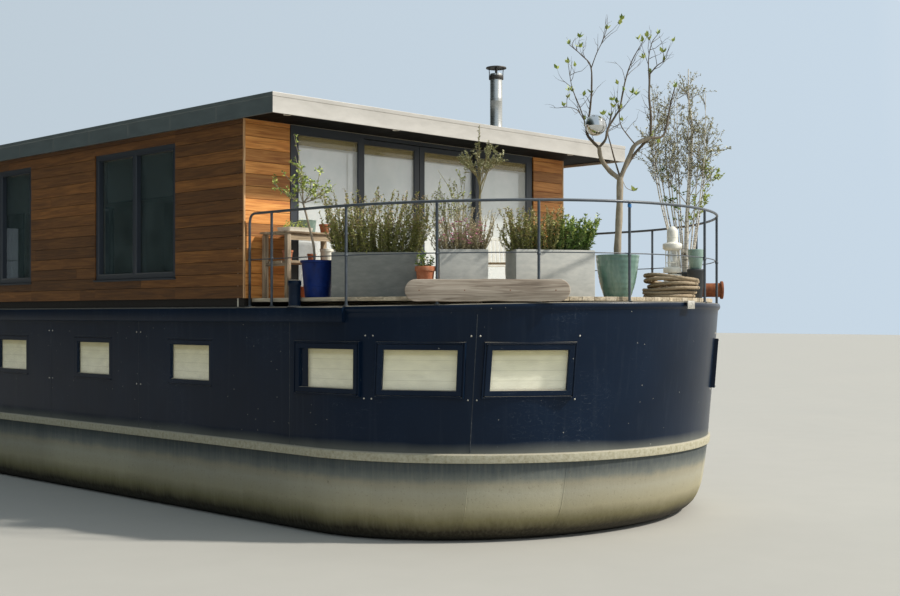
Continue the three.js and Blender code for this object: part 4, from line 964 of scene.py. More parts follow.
class HOUSEBOAT_OT_plating(bpy.types.Operator):
    """Bilge and topside plating, rubbing band, gunwale moulding, side strakes and bollards"""

    bl_idname = "houseboat.plating"
    bl_label = "Hull plating"

    def execute(self, context):
        columns = hull_columns()
        bottom = Form()
        heights = [0.0, 0.008, 0.022, 0.04, 0.06, 0.085, 0.115, 0.15, 0.19, 0.24, 0.31, 0.4, 0.52, 0.66, 0.8, 0.9355]
        bottom.rings([[on_hull(c, z) for c in columns] for z in heights])
        bottom.tints = [self.plate_tone(*column) for column in columns] * len(heights)
        bottom.piece("bottom_plating", "silt", replaces=["hull_lower"], slot="silted_steel", sharp=50)
        # height, how far out, share of the sheer
        rows = [(0.9365, 0.0, 0), (0.9365, 0.024, 0), (0.9405, 0.0295, 0), (0.948, 0.03, 0), (1.022, 0.03, 0),
                (1.031, 0.0275, 0), (1.046, 0.003, 0), (1.052, 0, 0), (1.2, 0, 0), (1.42, 0, 0)]
        rows += [(PORT_Z + s * PORT_HALF_HEIGHT, 0, 0) for s in (-1, 0, 1)]
        rows += [(2.4, 0, 0), (2.5, 0, 0.38), (2.6, 0, 0.77), (2.654, 0, 1), (2.66, 0.003, 1), (2.669, 0.013, 1),
                 (2.682, 0.022, 1), (2.698, 0.029, 1), (2.714, 0.03, 1), (2.729, 0.026, 1), (2.74, 0.017, 1),
                 (2.745, 0.006, 1), (2.745, -0.06, 1), (2.745, -0.1, 0)]
        top, count = Form(), len(columns)
        points = [on_hull(c, z, out, sheer) for z, out, sheer in rows for c in columns]
        faces = []
        for face in quads(len(rows), count):
            r, k = divmod(face[0], count)
            middle = (rows[r][0] + rows[r + 1][0]) / 2
            if abs(middle - PORT_Z) > PORT_HALF_HEIGHT or not in_window(columns[k], columns[(k + 1) % count]):
                faces.append(face)
        top.take(points, faces + caps(len(rows), count)[1:])
        bollard = [(0, 0), (0.1, 0), (0.1, 0.008), (0.075, 0.016), (0.075, 0.25), (0.079, 0.262), (0.0835, 0.272),
                   (0.084, 0.312), (0.078, 0.326), (0.05, 0.336), (0, 0.34)]
        for side in (-1, 1):
            self.strake(top, side)
            for y in (BOW_Y + 0.26, STERN_Y - 0.26):
                top.turned(bollard, (side * 3.158, y, 2.735), 28)
        top.piece("topside_plating", "navy", replaces=["hull_topsides"], slot="navy_steel", sharp=28)
        return {"FINISHED"}

    def plate_tone(self, part, where):
        """How pale the silt dried on the plate at this place."""
        return math.sin(2.7 * sum(where > edge for edge in (BOW_SEAMS if part == "bow" else SIDE_SEAMS)) + len(part))

    def strake(self, form, side):
        """A boxed strake of rounded section along the side, closed at its ends."""
        section = [(-0.03, 2.552), (0.05, 2.552), (0.06, 2.562), (0.062, 2.6), (0.062, 2.7), (0.058, 2.728),
                   (0.046, 2.738), (-0.03, 2.7381)]
        left = side < 0
        places = [("bow", a) for a in ([11.2, 8, 6, 4, 2, 0] if left else [168.8, 172, 174, 176, 178, 180])]
        places += [(SIDES[side > 0], BOW_Y + 0.5 + 0.6 * k) for k in range(23)]
        places += [("stern", 180 - 3 * k if left else 3 * k) for k in range(6)]
        form.rings([[on_hull(place, z, out) for out, z in section] for place in places])


class HOUSEBOAT_OT_seams(bpy.types.Operator):
    """Weld beads between the plates, and the studs between the windows"""

    bl_idname = "houseboat.seams"
    bl_label = "Seams and studs"

    def execute(self, context):
        settings = context.scene.houseboat_hull
        beads, chance = Form(), random.Random(3)
        # height and share of the sheer, below and above the knuckle
        low = [(z, 0) for z in (0.03, 0.085, 0.15, 0.24, 0.4, 0.6, 0.8, 0.93)]
        high = [(z, 0) for z in (1.06, 1.3, 1.6, 2.0, 2.39)] + [(2.5, 0.38), (2.6, 0.77), (2.65, 1)]
        spots = [("bow", a, a in TALL_SEAMS) for a in BOW_SEAMS]
        spots += [(side, y, True) for side in SIDES for y in SIDE_SEAMS]
        spots += [("stern", a, True) for a in (40, 90, 140)]
        for part, where, tall in spots:
            width = settings.seam / 2 / (1 if part in SIDES else math.radians(1) * 3.1)
            for rows in (low, high) if tall else (low,):
                fine = []
                for (z0, s0), (z1, s1) in zip(rows, rows[1:]):
                    steps = max(2, int((z1 - z0) / 0.03))
                    fine += [(z0 + (z1 - z0) * k / steps, s0 + (s1 - s0) * k / steps) for k in range(steps)]
                points = []
                for z, sheer in fine:
                    swell = chance.uniform(0.8, 1.25)
                    for aside, out in ((-1, -0.001), (-0.5, 0.002), (0.5, 0.002), (1, -0.001)):
                        points.append(on_hull((part, where + aside * width * swell), z, out * swell, sheer))
                beads.take(points, quads(len(fine), 4, closed=False), 0, 1 if rows is high else 0)
        beads.piece("weld_beads", "silt", "bead", slot="navy_steel", sharp=60, even=False)
        studs, size, apart = Form(), settings.stud / 2, 0.052
        places = [("bow", a + s * math.degrees(apart / BEAM)) for a in (17.45, 41.1, 138.9, 162.55) for s in (-1, 1)]
        places += [("bow", 63.4), ("bow", 116.6)]
        places += [(side, y + s * apart) for side in SIDES for y in SIDE_SEAMS[1:-1] for s in (-1, 1)]
        dome = [(size, -0.004), (size, 0.003), (size * 0.7, 0.007), (0, 0.009)]
        for place in places:
            for z in (2.4, 1.665):
                at, over = on_hull(place, z), on_hull(place, z, 0.1)
                turn = (over - at).to_track_quat("Z", "Y").to_matrix().to_4x4()
                studs.turned(dome, sides=12, place=Matrix.Translation(at) @ turn, tint=chance.uniform(-1, 1))
        studs.piece("plate_studs", "stud", sharp=60)
        return {"FINISHED"}


class HOUSEBOAT_OT_hull_windows(bpy.types.Operator):
    """Welded window frames with their drip ledges, panes, and pleated blinds behind them"""

    bl_idname = "houseboat.hull_windows"
    bl_label = "Hull windows"

    def execute(self, context):
        frames, panes, boxes = Form(), Form(), Form()
        rings = [(0.54, 0.325, -0.09), (0.54, 0.325, -0.001), (0.538, 0.323, 0.001), (0.528, 0.313, 0.001),
                 (0.526, 0.311, -0.001), (0.525, 0.31, -0.014), (0.513, 0.298, -0.014), (0.511, 0.296, 0.0),
                 (0.508, 0.293, 0.002), (0.456, 0.241, 0.002), (0.45, 0.235, -0.001), (0.445, 0.23, -0.012),
                 (0.445, 0.23, -0.045)]
        for number, place in enumerate(hull_windows()):
            frames.stepped(rings, place)
            # a sill bar in the groove, and a drip ledge over it
            frames.box((-0.505, -0.3105, -0.014), (0.505, -0.2985, 0.012), 0, place=place)
            frames.box((-0.52, 0.3, -0.014), (0.52, 0.3095, 0.006), 0, place=place)
            panes.box((-0.446, -0.231, -0.034), (0.446, 0.231, -0.028), 0, place=place)
            boxes.stepped([(0.47, 0.25, -0.045), (0.47, 0.25, -0.16)], place, closed=True)
            self.blind(number, place)
        frames.piece("hull_window_frames", "navy", slot="navy_steel", sharp=25)
        panes.piece("hull_window_panes", "port_glass", slot="window_glass", sharp=25)
        boxes.piece("window_linings", "plaster", slot="floor_boards", sharp=25, even=False)
        return {"FINISHED"}

    def blind(self, number, place):
        """One blind, folded in three soft pleats that hang a little forward at their foot."""
        cloth, wide, tall, across, down = Form(number + 5), 0.93, 0.5, 6, 30
        lean = [cloth.chance.uniform(-0.002, 0.002) for _ in range(across + 1)]

        def point(c, r):
            share = r / down
            fold = abs(math.sin(share * math.pi * 3))
            return ((c / across - 0.5) * wide, tall / 2 - share * tall, -0.062 + 0.004 * fold**0.4 + lean[c] * share)

        def grain(c, r):
            return ((c / across - 0.5) * wide, 1 - r / down, number * 3.1)

        cloth.cloth(across, down, point, 0, place, grain)
        hung = cloth.piece(f"blind_{number + 1}", "blind", sharp=30, even=False)
        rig.sheet(hung, flat=(wide, tall), held="hung", rests_on=["window_linings"])


class HOUSEBOAT_OT_decks(bpy.types.Operator):
    """Deck boards cut to the curve of bow and stern, on bearers"""

    bl_idname = "houseboat.decks"
    bl_label = "Decks"

    def execute(self, context):
        settings = context.scene.houseboat_deck
        half = 3.079
        ends = (("foredeck", -1, FRONT_Y - 0.004, BOW_Y, half), ("aft_deck", 1, REAR_Y + 0.004, STERN_Y, 2.295))
        for name, way, edge, centre, reach in ends:
            form = Form(len(name))
            chance = form.chance
            for k in range(math.ceil(2 * half / settings.board)):
                x0 = -half + k * settings.board
                x1 = min(x0 + settings.board - settings.gap, half)
                xs = [x0 + (x1 - x0) * t for t in (0, 0.25, 0.5, 0.75, 1)]
                curve = [(x, centre + way * reach * math.sqrt(max(0, 1 - (x / half) ** 2))) for x in xs]
                middle, lift, rings = ((x0 + x1) / 2, (edge + centre) / 2), chance.uniform(-0.0015, 0), []
                for z, inset in ((BOARD_TOP - 0.048, 0.0), (BOARD_TOP - 0.004 + lift, 0.0), (BOARD_TOP + lift, 0.003)):
                    rings.append([(x - inset * (1 if x > middle[0] else -1) * (x not in xs[1:4]),
                                   y - inset * (1 if y > middle[1] else -1), z)
                                  for x, y in ((x1, edge), (x0, edge), *curve)])
                first = len(form.points)
                form.rings(rings, tint=chance.uniform(-1, 1))
                a, b, c = [chance.uniform(0, 40) for _ in range(3)]
                form.grains[first:] = [(p.y + a, p.x + b, p.z + c) for p in form.points[first:]]
            for x in (-2.25, -1.15, 0.0, 1.15, 2.25):
                run = (reach + 0.105 - 0.15) * math.sqrt(1 - ((abs(x) + 0.035) / 3.034) ** 2)
                y0, y1 = sorted((edge + way * 0.01, centre + way * run))
                form.box((x - 0.035, y0, DECK_Z + 0.001), (x + 0.035, y1, BOARD_TOP - 0.049), slot=1)
            form.piece(f"{name}_planks", "deck", "bench", replaces=[f"{name}_boards"], slot="weathered_timber",
                       sharp=30)
        dress_node("cabin_floor", "floor", 0.001)
        return {"FINISHED"}


def opening(name, axis):
    """What a node takes out of its wall: from where to where along the axis, its foot and its head."""
    low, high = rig.box(name)
    return low[axis], high[axis], low.z, high.z


class HOUSEBOAT_OT_cladding(bpy.types.Operator):
    """Cedar boards with shadow gaps over a dark membrane, pale corner posts, and a painted lining inside"""

    bl_idname = "houseboat.cladding"
    bl_label = "Cabin cladding"

    def execute(self, context):
        starboard, port = ([opening(f"window_{side}_{end}", 1) for end in ("fore", "aft")] for side in SIDES)
        x0, x1, _, head = opening("rear_door_frame", 0)
        rear = [opening("window_rear", 0), (x0, x1, WALL_FOOT - 0.01, head)]
        # name, node, whether it runs along the boat, span, holes, outer face, way out
        walls = (
            ("front_pier_starboard", "wall_front_starboard", False, (-WALL_HALF, -2.4303), [], FRONT_Y, -1),
            ("front_pier_port", "wall_front_port", False, (2.4303, WALL_HALF), [], FRONT_Y, -1),
            ("starboard_wall", "wall_starboard", True, (FRONT_Y, REAR_Y), starboard, -WALL_HALF, -1),
            ("port_wall", "wall_port", True, (FRONT_Y, REAR_Y), port, WALL_HALF, 1),
            ("rear_wall", "wall_rear", False, (-WALL_HALF, WALL_HALF), rear, REAR_Y, 1),
        )
        for number, (name, node, lengthwise, span, holes, face, way) in enumerate(walls):
            form = Form(number + 20)
            self.clad(context.scene.houseboat_cabin, form, lengthwise, span, holes, face, way)
            # core and lining stop where the crossing wall begins
            ends = [WALL + 0.001 if lengthwise else 0.026 * (abs(end) == WALL_HALF) for end in span]
            for depths, slot in (((0.034, 0.15), 1), ((0.151, WALL), 2)):
                near, far = sorted(face - way * d for d in depths)
                for a, b, z0, z1 in cut_sheet(span[0] + ends[0], span[1] - ends[1], WALL_FOOT, WALL_HEAD, holes):
                    low, high = ((near, a, z0), (far, b, z1)) if lengthwise else ((a, near, z0), (b, far, z1))
                    form.box(low, high, 0.0, slot)
            # the starboard wall takes the darker cedar copy, which is painted shade
            form.piece(name, "cedar_side" if way < 0 and lengthwise else "cedar", "backing", "plaster", replaces=[node],
                       slot="cedar_cladding", sharp=30)
        posts = Form(31)
        for x in (-1, 1):
            for face, way in ((FRONT_Y, -1), (REAR_Y, 1)):
                xs, ys = sorted((x * WALL_HALF, x * (WALL_HALF - 0.024))), sorted((face, face - way * 0.024))
                posts.box((xs[0], ys[0], WALL_FOOT + 0.11), (xs[1], ys[1], WALL_HEAD), 0.2)
        posts.piece("corner_posts", "cedar_trim", slot="cedar_cladding", bevel=0.002)
        return {"FINISHED"}

    def clad(self, settings, form, lengthwise, span, holes, face, way):
        """Rows of boards with staggered butt joints, cut round the windows and doors."""
        chance, z0 = form.chance, WALL_FOOT + 0.11
        for row in range(math.ceil((WALL_HEAD - 0.02 - z0) / settings.cover)):
            foot = z0 + row * settings.cover
            top = min(foot + settings.cover - settings.shadow_gap, WALL_HEAD)
            ends, at = [span[0] + 0.0245], span[0] + chance.uniform(1.6, 4.2)
            while at < span[1] - 0.9:
                ends.append(at)
                at += chance.uniform(3.0, 4.6)
            ends.append(span[1] - 0.0245)
            for a, b in zip(ends, ends[1:]):
                tint = chance.uniform(-1, 1)
                for sheet in cut_sheet(a + 0.001, b - 0.001, foot, top, holes):
                    if sheet[1] - sheet[0] > 0.01 and sheet[3] - sheet[2] > 0.006:
                        self.board(form, lengthwise, sheet, face, way, tint)

    def board(self, form, lengthwise, sheet, face, way, tint):
        """One board with its outer edges eased, its grain its own."""
        a, b, z0, z1 = sheet
        shift = [form.chance.uniform(0, 40) for _ in range(3)]
        points, grain = [], []
        for depth, inset in ((0.024, 0), (0.006, 0), (0.004, 0.0025)):
            out = face - way * depth
            for along, z in ((a, z0 + inset), (b, z0 + inset), (b, z1 - inset), (a, z1 - inset)):
                points.append((out, along, z) if lengthwise else (along, out, z))
                grain.append((along + shift[0], z + shift[1], depth + shift[2]))
        form.take(points, quads(3, 4) + caps(3, 4)[::-1], tint, 0, None, grain)


def upright_place(x, y, z, outward):
    """A place on a wall: x across, y up, z out."""
    out = Vector(outward)
    return Matrix.Translation((x, y, z)) @ Matrix((up(1).cross(out), up(1), out)).transposed().to_4x4()


def bead(form, x, y, z, outward, half_width, half_height, deep=0.03):
    """A glazing bead round one pane, with a rubber line at the glass."""
    steps = ((0.004, -0.002), (0.004, 0.0035), (0.002, 0.0045), (-0.008, 0.0045), (-0.014, -0.003), (-0.014, -deep))
    form.stepped([(half_width + s, half_height + s, out) for s, out in steps], upright_place(x, y, z, outward))


class HOUSEBOAT_OT_cabin_windows(bpy.types.Operator):
    """Window frames with beads, sill flashings, panes, and roller blinds inside"""

    bl_idname = "houseboat.cabin_windows"
    bl_label = "Cabin windows"

    def execute(self, context):
        trim = Form(41)
        for name in [*(f"window_{side}_{end}" for side in SIDES for end in ("fore", "aft")), "window_rear"]:
            dress_node(name, "frames", 0.002)
            # these panes take the dark copy of the glazing: painted shade
            dress_node(name + "_glass", "side_glass")
            low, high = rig.box(name)
            middle = (low + high) / 2
            lengthwise = name != "window_rear"
            outward = Vector((math.copysign(1, middle.x), 0, 0)) if lengthwise else Vector((0, 1, 0))
            half = ((high.y - low.y) if lengthwise else (high.x - low.x)) / 2
            light, tall = (half - 0.07 - 0.035) / 2, (high.z - low.z) / 2 - 0.07
            for aside in (-0.035 - light, 0.035 + light):
                x = (high.x if outward.x > 0 else low.x) if lengthwise else middle.x + aside
                bead(trim, x, middle.y + aside if lengthwise else high.y, middle.z, outward, light, tall, 0.07)
            # sill flashing with a turned-down nose
            face = (outward.x * WALL_HALF, middle.y) if lengthwise else (middle.x, REAR_Y)
            place, across = upright_place(*face, low.z, outward), half + 0.012
            for y0, z0, y1, z1 in ((-0.028, -0.012, -0.002, -0.0005), (-0.004, -0.028, 0.0, 0.02),
                                   (-0.02, 0.017, 0.0, 0.02)):
                trim.box((-across, y0, z0), (across, y1, z1), 0, place=place)
            behind = middle - outward * 0.12 if lengthwise else Vector((middle.x, REAR_Y - 0.19, 0))
            self.blind(name, upright_place(behind.x, behind.y, high.z - 0.06, outward), 2 * half - 0.1)
        trim.piece("cabin_window_trim", "frames", slot="dark_frames", sharp=30)
        return {"FINISHED"}

    def blind(self, name, place, wide):
        """A sheer roller blind close behind the glass, with a weighted hem."""
        cloth, rail, drop, across, down = Form(9), Form(10), 0.62 if "starboard" in name else 0.5, 10, 6

        def point(c, r):
            return ((c / across - 0.5) * wide, -drop * r / down, 0.002 * math.sin(c * 1.3) * r / down)

        cloth.cloth(across, down, point, 0, place)
        # the dim grey blind finish is painted shade
        hung = cloth.piece(name + "_blind", "shade", sharp=60, even=False)
        for y, z, radius, sides in ((0, -0.012, 0.016, 14), (-drop - 0.007, 0, 0.007, 10)):
            rail.tube([(-wide / 2, y, z), (wide / 2, y, z)], radius, sides, place=place)
        bars = rail.piece(name + "_blind_bars", "frames", sharp=60)
        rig.sheet(hung, flat=(wide, drop), held="hung", rests_on=[name], with_pieces=[bars])


class HOUSEBOAT_OT_front_doors(bpy.types.Operator):
    """Glazed front: fixed lights, two sliding leaves with flush pulls, track and header, blinds behind"""

    bl_idname = "houseboat.front_doors"
    bl_label = "Front doors"

    def execute(self, context):
        dress_node("front_door_frame", "frames", 0.0025)
        fixed, out = Form(51), (0, -1, 0)
        for side in SIDES:
            dress_node(f"front_glass_{side}", "glass")
            dress_node(f"front_leaf_{side}", "frames", 0.0025)
            dress_node(f"front_leaf_{side}_glass", "glass")
            low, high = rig.box(f"front_glass_{side}")
            middle, half = (low + high) / 2, (high - low) / 2
            bead(fixed, middle.x, FRONT_Y + 0.02, middle.z, out, half.x, half.z, 0.02)
            leaf = Form(52)
            low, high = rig.box(f"front_leaf_{side}_glass")
            middle, half = (low + high) / 2, (high - low) / 2
            face, back = (corner.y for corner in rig.box(f"front_leaf_{side}"))
            steps = ((0.001, -0.003), (-0.006, 0.0005), (-0.012, -0.003), (-0.012, -0.02))
            leaf.stepped([(half.x + s, half.z + s, d) for s, d in steps], upright_place(middle.x, face, middle.z, out))
            inner = math.copysign(0.05, middle.x)
            pull = upright_place(inner, face, 3.9, out)
            leaf.stepped([(0.017, 0.09, -0.001), (0.017, 0.09, 0.001), (0.012, 0.085, 0.0012), (0.011, 0.084, -0.006)],
                         pull, slot=1)
            # a black plate over the pull's hollow: painted shade for the recess
            leaf.stepped([(0.011, 0.084, 0.0002), (0.009, 0.08, 0.0001)], pull, slot=2, closed=True)
            grip = ((0, 3.97), (0.04, 3.97), (0.045, 3.965), (0.045, 3.835), (0.04, 3.83), (0, 3.83))
            leaf.tube([(inner, back + y, z) for y, z in grip], 0.009, 12, slot=1)
            leaf.piece(f"front_leaf_{side}_trim", "frames", "flue", "backing", body=f"front_leaf_{side}_body",
                       slot="dark_frames", sharp=40)
        # threshold ribs and the track's cover strip
        for k in range(5):
            y = FRONT_Y + 0.028 + k * 0.022
            fixed.box((-2.38, y, 2.8995), (2.38, y + 0.006, 2.9035), 0)
        fixed.box((-2.43, FRONT_Y - 0.004, 2.86), (2.43, FRONT_Y + 0.019, 2.9), 0.3)
        fixed.piece("front_glazing_trim", "frames", slot="dark_frames", sharp=30)
        pelmet = Form(53)
        for y0, y1, z0, z1 in ((0.19, 0.215, 4.905, 5.1), (0.185, 0.222, 4.897, 4.911)):
            pelmet.box((-2.38, FRONT_Y + y0, z0), (2.38, FRONT_Y + y1, z1), 0)
        pelmet.piece("blind_pelmet", "pelmet", slot="floor_boards", bevel=0.002)
        bounds = [-2.36, -1.26, 0.0, 1.26, 2.36]
        for k, (a, b) in enumerate(zip(bounds, bounds[1:])):
            self.blind(k, a + 0.01, b - a - 0.02)
        return {"FINISHED"}

    def blind(self, k, left, wide):
        """A sheer blind with soft folds and a bar in its hem."""
        cloth, bar, drop, across, down, y = Form(k), Form(k), 1.9, 14, 10, FRONT_Y + 0.235

        def point(c, r):
            wave = 0.004 * math.sin(c * 0.9 + k) * (0.3 + 0.7 * r / down)
            return (left + wide * c / across, y + wave, 4.915 - drop * r / down)

        cloth.cloth(across, down, point)
        hung = cloth.piece(f"front_blind_{k + 1}", "curtain", sharp=60, even=False)
        bar.tube([(left, y, 4.907 - drop), (left + wide, y, 4.907 - drop)], 0.008, 10)
        weight = bar.piece(f"front_blind_{k + 1}_bar", "frames", sharp=60)
        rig.sheet(hung, flat=(wide, drop), held="hung", rests_on=["blind_pelmet"], with_pieces=[weight])


class HOUSEBOAT_OT_rear_door(bpy.types.Operator):
    """Half-glazed rear door with a panel moulding, lever and hinges"""

    bl_idname = "houseboat.rear_door"
    bl_label = "Rear door"

    def execute(self, context):
        dress_node("rear_door_frame", "frames", 0.003)
        dress_node("rear_door_leaf", "frames", 0.003)
        dress_node("rear_door_glass", "glass")
        low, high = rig.box("rear_door_leaf")
        glass_low, glass_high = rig.box("rear_door_glass")
        middle, half = (glass_low + glass_high) / 2, (glass_high - glass_low) / 2
        trim, out = Form(61), (0, 1, 0)
        bead(trim, middle.x, high.y, middle.z, out, half.x, half.z, 0.012)
        trim.stepped([(0.27, 0.28, -0.001), (0.268, 0.278, 0.003), (0.245, 0.255, 0.003), (0.24, 0.25, -0.0005)],
                     upright_place(middle.x, high.y, low.z + 0.43, out))
        handle = upright_place(low.x + 0.06, high.y, low.z + 1.02, out)
        trim.stepped([(0.02, 0.11, -0.001), (0.02, 0.11, 0.004), (0.017, 0.107, 0.006)], handle, slot=1, closed=True)
        lever = [(0, 0.04, 0), (0, 0.04, 0.035), (-0.006, 0.04, 0.045), (-0.02, 0.04, 0.05), (-0.11, 0.038, 0.05)]
        trim.tube([handle @ p for p in smooth_line(lever, 4)], 0.009, 12, slot=1)
        trim.piece("rear_door_trim", "frames", "flue", body="rear_door_body", slot="dark_frames", sharp=40)
        hinges = Form(62)
        for z in (low.z + 0.2, (low.z + high.z) / 2, high.z - 0.2):
            hinges.tube([(1.712, 6.006, z - 0.05), (1.712, 6.006, z + 0.05)], 0.0055, 14)
        hinges.piece("rear_door_hinges", "flue", body="rear_door_body", slot="stainless_flue", sharp=60)
        return {"FINISHED"}


class HOUSEBOAT_OT_roof(bpy.types.Operator):
    """Flat roof: welded membrane, folded fascia in sheets, ply soffit with downlights, and a ceiling"""

    bl_idname = "houseboat.roof"
    bl_label = "Roof"

    def execute(self, context):
        (x0, x1), (y0, y1) = ROOF_X, ROOF_Y
        # the slab stands inside the fascia
        a, b, c, d = x0 + 0.0305, x1 - 0.0305, y0 + 0.0305, y1 - 0.0305
        base, ply, edge = ROOF_TOP - 0.004, 5.171, 0.12
        slab = Form(71)
        slab.box((a, c, 5.172), (b, d, base), 0)
        lap = y0 + 0.6
        while lap < y1 - 0.2:
            # each lap of the membrane lies 3 mm over the one before
            slab.box((a + 0.04, lap, base), (b - 0.04, lap + 0.09, ROOF_TOP - 0.001), 0.4)
            lap += 1.0
        for strip in ((a, b, c, c + edge), (a, b, d - edge, d), (a, a + edge, c, d), (b - edge, b, c, d)):
            slab.box((strip[0], strip[2], base), (strip[1], strip[3], ROOF_TOP - 0.0005), 0.2)
        slab.box((-3.199, FRONT_Y + 0.001, 5.1505), (3.199, REAR_Y - 0.001, ply), 0, 2)
        # the soffit's panels, across the ends and along the sides
        for px0, px1, py0, py1, wide in ((a, b, c, FRONT_Y - 0.001, True), (a, b, REAR_Y + 0.001, d, True),
                                         (a, -3.201, FRONT_Y, REAR_Y, False), (3.201, b, FRONT_Y, REAR_Y, False)):
            start, stop = (px0, px1) if wide else (py0, py1)
            many = max(1, round((stop - start) / 1.16))
            for k in range(many):
                near, far = (start + (k + i) * (stop - start) / many + s for i, s in ((0, 0.004), (1, -0.004)))
                low, high = ((near, py0), (far, py1)) if wide else ((px0, near), (px1, far))
                slab.box((*low, SOFFIT_Z), (*high, ply), slab.chance.uniform(-1, 1), 1)
        slab.piece("roof_covering", "membrane", "soffit", "plaster", replaces=["roof_slab"], slot="roof_membrane")
        # inset from the roof's edge, height: a drip edge, a flat sheet, and a fold 50 mm below the top
        profile = [(0.0295, 5.114), (0.008, 5.112), (0.004, 5.113), (0.003, 5.118), (0.0045, 5.124), (0.005, 5.311),
                   (0.002, 5.316), (0.0003, 5.319), (0.0003, 5.362), (0.002, 5.3665), (0.006, 5.368), (0.0295, 5.368)]
        rings = [[(x0 + i, y0 + i, z), (x1 - i, y0 + i, z), (x1 - i, y1 - i, z), (x0 + i, y1 - i, z)]
                 for i, z in profile]
        trim = Form(72)
        trim.rings([*rings, rings[0]], capped=False)
        # the starboard sheets take the darker copy of the sheet: painted shade
        for i, face in enumerate(trim.faces):
            if sum(trim.points[k][0] for k in face) / len(face) < x0 + 0.031:
                trim.slots[i] = 2
        sheet = context.scene.houseboat_cabin.sheet
        for side, way in ((x0, 1), (x1, -1)):
            near, far = sorted((side + way * 0.0035, side + way * 0.0062))
            at = y0 + sheet + 0.13
            while at < y1 - 0.2:
                trim.box((near, at, 5.125), (far, at + 0.003, 5.31), 0, 1)
                at += sheet
        trim.piece("fascia_sheets", "fascia", "joint", "fascia_shade", replaces=["roof_fascia"], slot="fascia_metal",
                   sharp=20)
        lights = Form(73)
        rim = [(0.0, 0.006), (0.028, 0.006), (0.034, -0.001), (0.048, -0.004), (0.052, 0.0), (0.052, 0.004)]
        for x in (-2.98, -1.11, 0.76, 2.63):
            lights.turned(rim, (x, -6.19, SOFFIT_Z), 24)
        lights.piece("soffit_downlights", "lamp", slot="white_paint", sharp=50)
        return {"FINISHED"}


class HOUSEBOAT_OT_flue(bpy.types.Operator):
    """Twin-wall stove flue with its flashing, locking bands and rain cap"""

    bl_idname = "houseboat.flue"
    bl_label = "Flue"

    def execute(self, context):
        low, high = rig.box("flue_pipe")
        at = Vector(((low.x + high.x) / 2, (low.y + high.y) / 2, 0))
        pipe = Form(81)
        wall = [(0, low.z), (0.0985, low.z)]
        for z in (5.62, 6.08):
            band = [(0.0985, -0.03), (0.0995, -0.028), (0.1, -0.012), (0.0988, -0.01)]
            wall += [(r, z + h) for r, h in [*band, *((r, -h) for r, h in reversed(band))]]
        wall += [(0.0985, 6.49), (0.096, 6.5), (0.085, 6.5), (0.085, 6.3), (0, 6.3)]
        pipe.turned(wall, at, 64)
        pipe.piece("flue_wall", "flue", replaces=["flue_pipe"], slot="stainless_flue", sharp=30)
        skirt = Form(82)
        collar = [(0.101, 0), (0.23, 0), (0.23, 0.012), (0.222, 0.018), (0.19, 0.03), (0.165, 0.06), (0.15, 0.088),
                  (0.138, 0.112), (0.126, 0.118), (0.118, 0.14), (0.108, 0.149), (0.101, 0.15), (0.101, 0)]
        skirt.turned(collar, at + up(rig.box("flue_flashing")[0].z), 48)
        skirt.piece("flue_skirt", "plastic", replaces=["flue_flashing"], slot="dark_plastic", sharp=40)
        cap = Form(83)
        cap.turned([(0.101, 6.41), (0.114, 6.41), (0.117, 6.414), (0.117, 6.465), (0.114, 6.47), (0.101, 6.47),
                    (0.101, 6.41)], at, 48)
        cap.turned([(0, 6.6), (0.12, 6.6), (0.158, 6.588), (0.164, 6.586), (0.165, 6.596), (0.16, 6.604), (0.1, 6.618),
                    (0.05, 6.627), (0, 6.63)], at, 48)
        for k in range(4):
            leg = ((0.109, 6.43), (0.109, 6.52), (0.112, 6.56), (0.112, 6.605))
            cap.tube([at + around((k + 0.5) * math.pi / 2, r, z) for r, z in leg], 0.0065, 8)
        cap.tube([at + up(6.47), at + up(6.6)], 0.02, 12, slot=1)
        cap.piece("rain_cap", "soot", "soot", replaces=["flue_cap"], slot="stainless_flue", sharp=40)
        return {"FINISHED"}


def bow_line(line, z, rise):
    """The line of the bow rail, from starboard round to port: it climbs a little towards the stem."""
    ends = (FRONT_Y - 0.16, FRONT_Y - 0.4, BOW_Y + 0.5, BOW_Y + 0.2)
    points = [Vector((-line, y, z)) for y in ends]
    points += [round_bow(k * 3.0, line, z + rise * math.sin(math.radians(k * 3.0)) ** 2) for k in range(61)]
    return points + [Vector((line, y, z)) for y in reversed(ends)]


def stern_line(line, z):
    """The line of the stern rail, from starboard round to port."""
    reach = STERN_RAIL_REACH - (RAIL_LINE - line)
    points = [Vector((-line, y, z)) for y in (REAR_Y + 0.18, REAR_Y + 0.6, STERN_Y - 0.5, STERN_Y - 0.2)]
    turns = [math.radians(k * 3.0) for k in range(61)]
    return points + [Vector((-line * math.cos(turn), STERN_Y + reach * math.sin(turn), z)) for turn in turns]


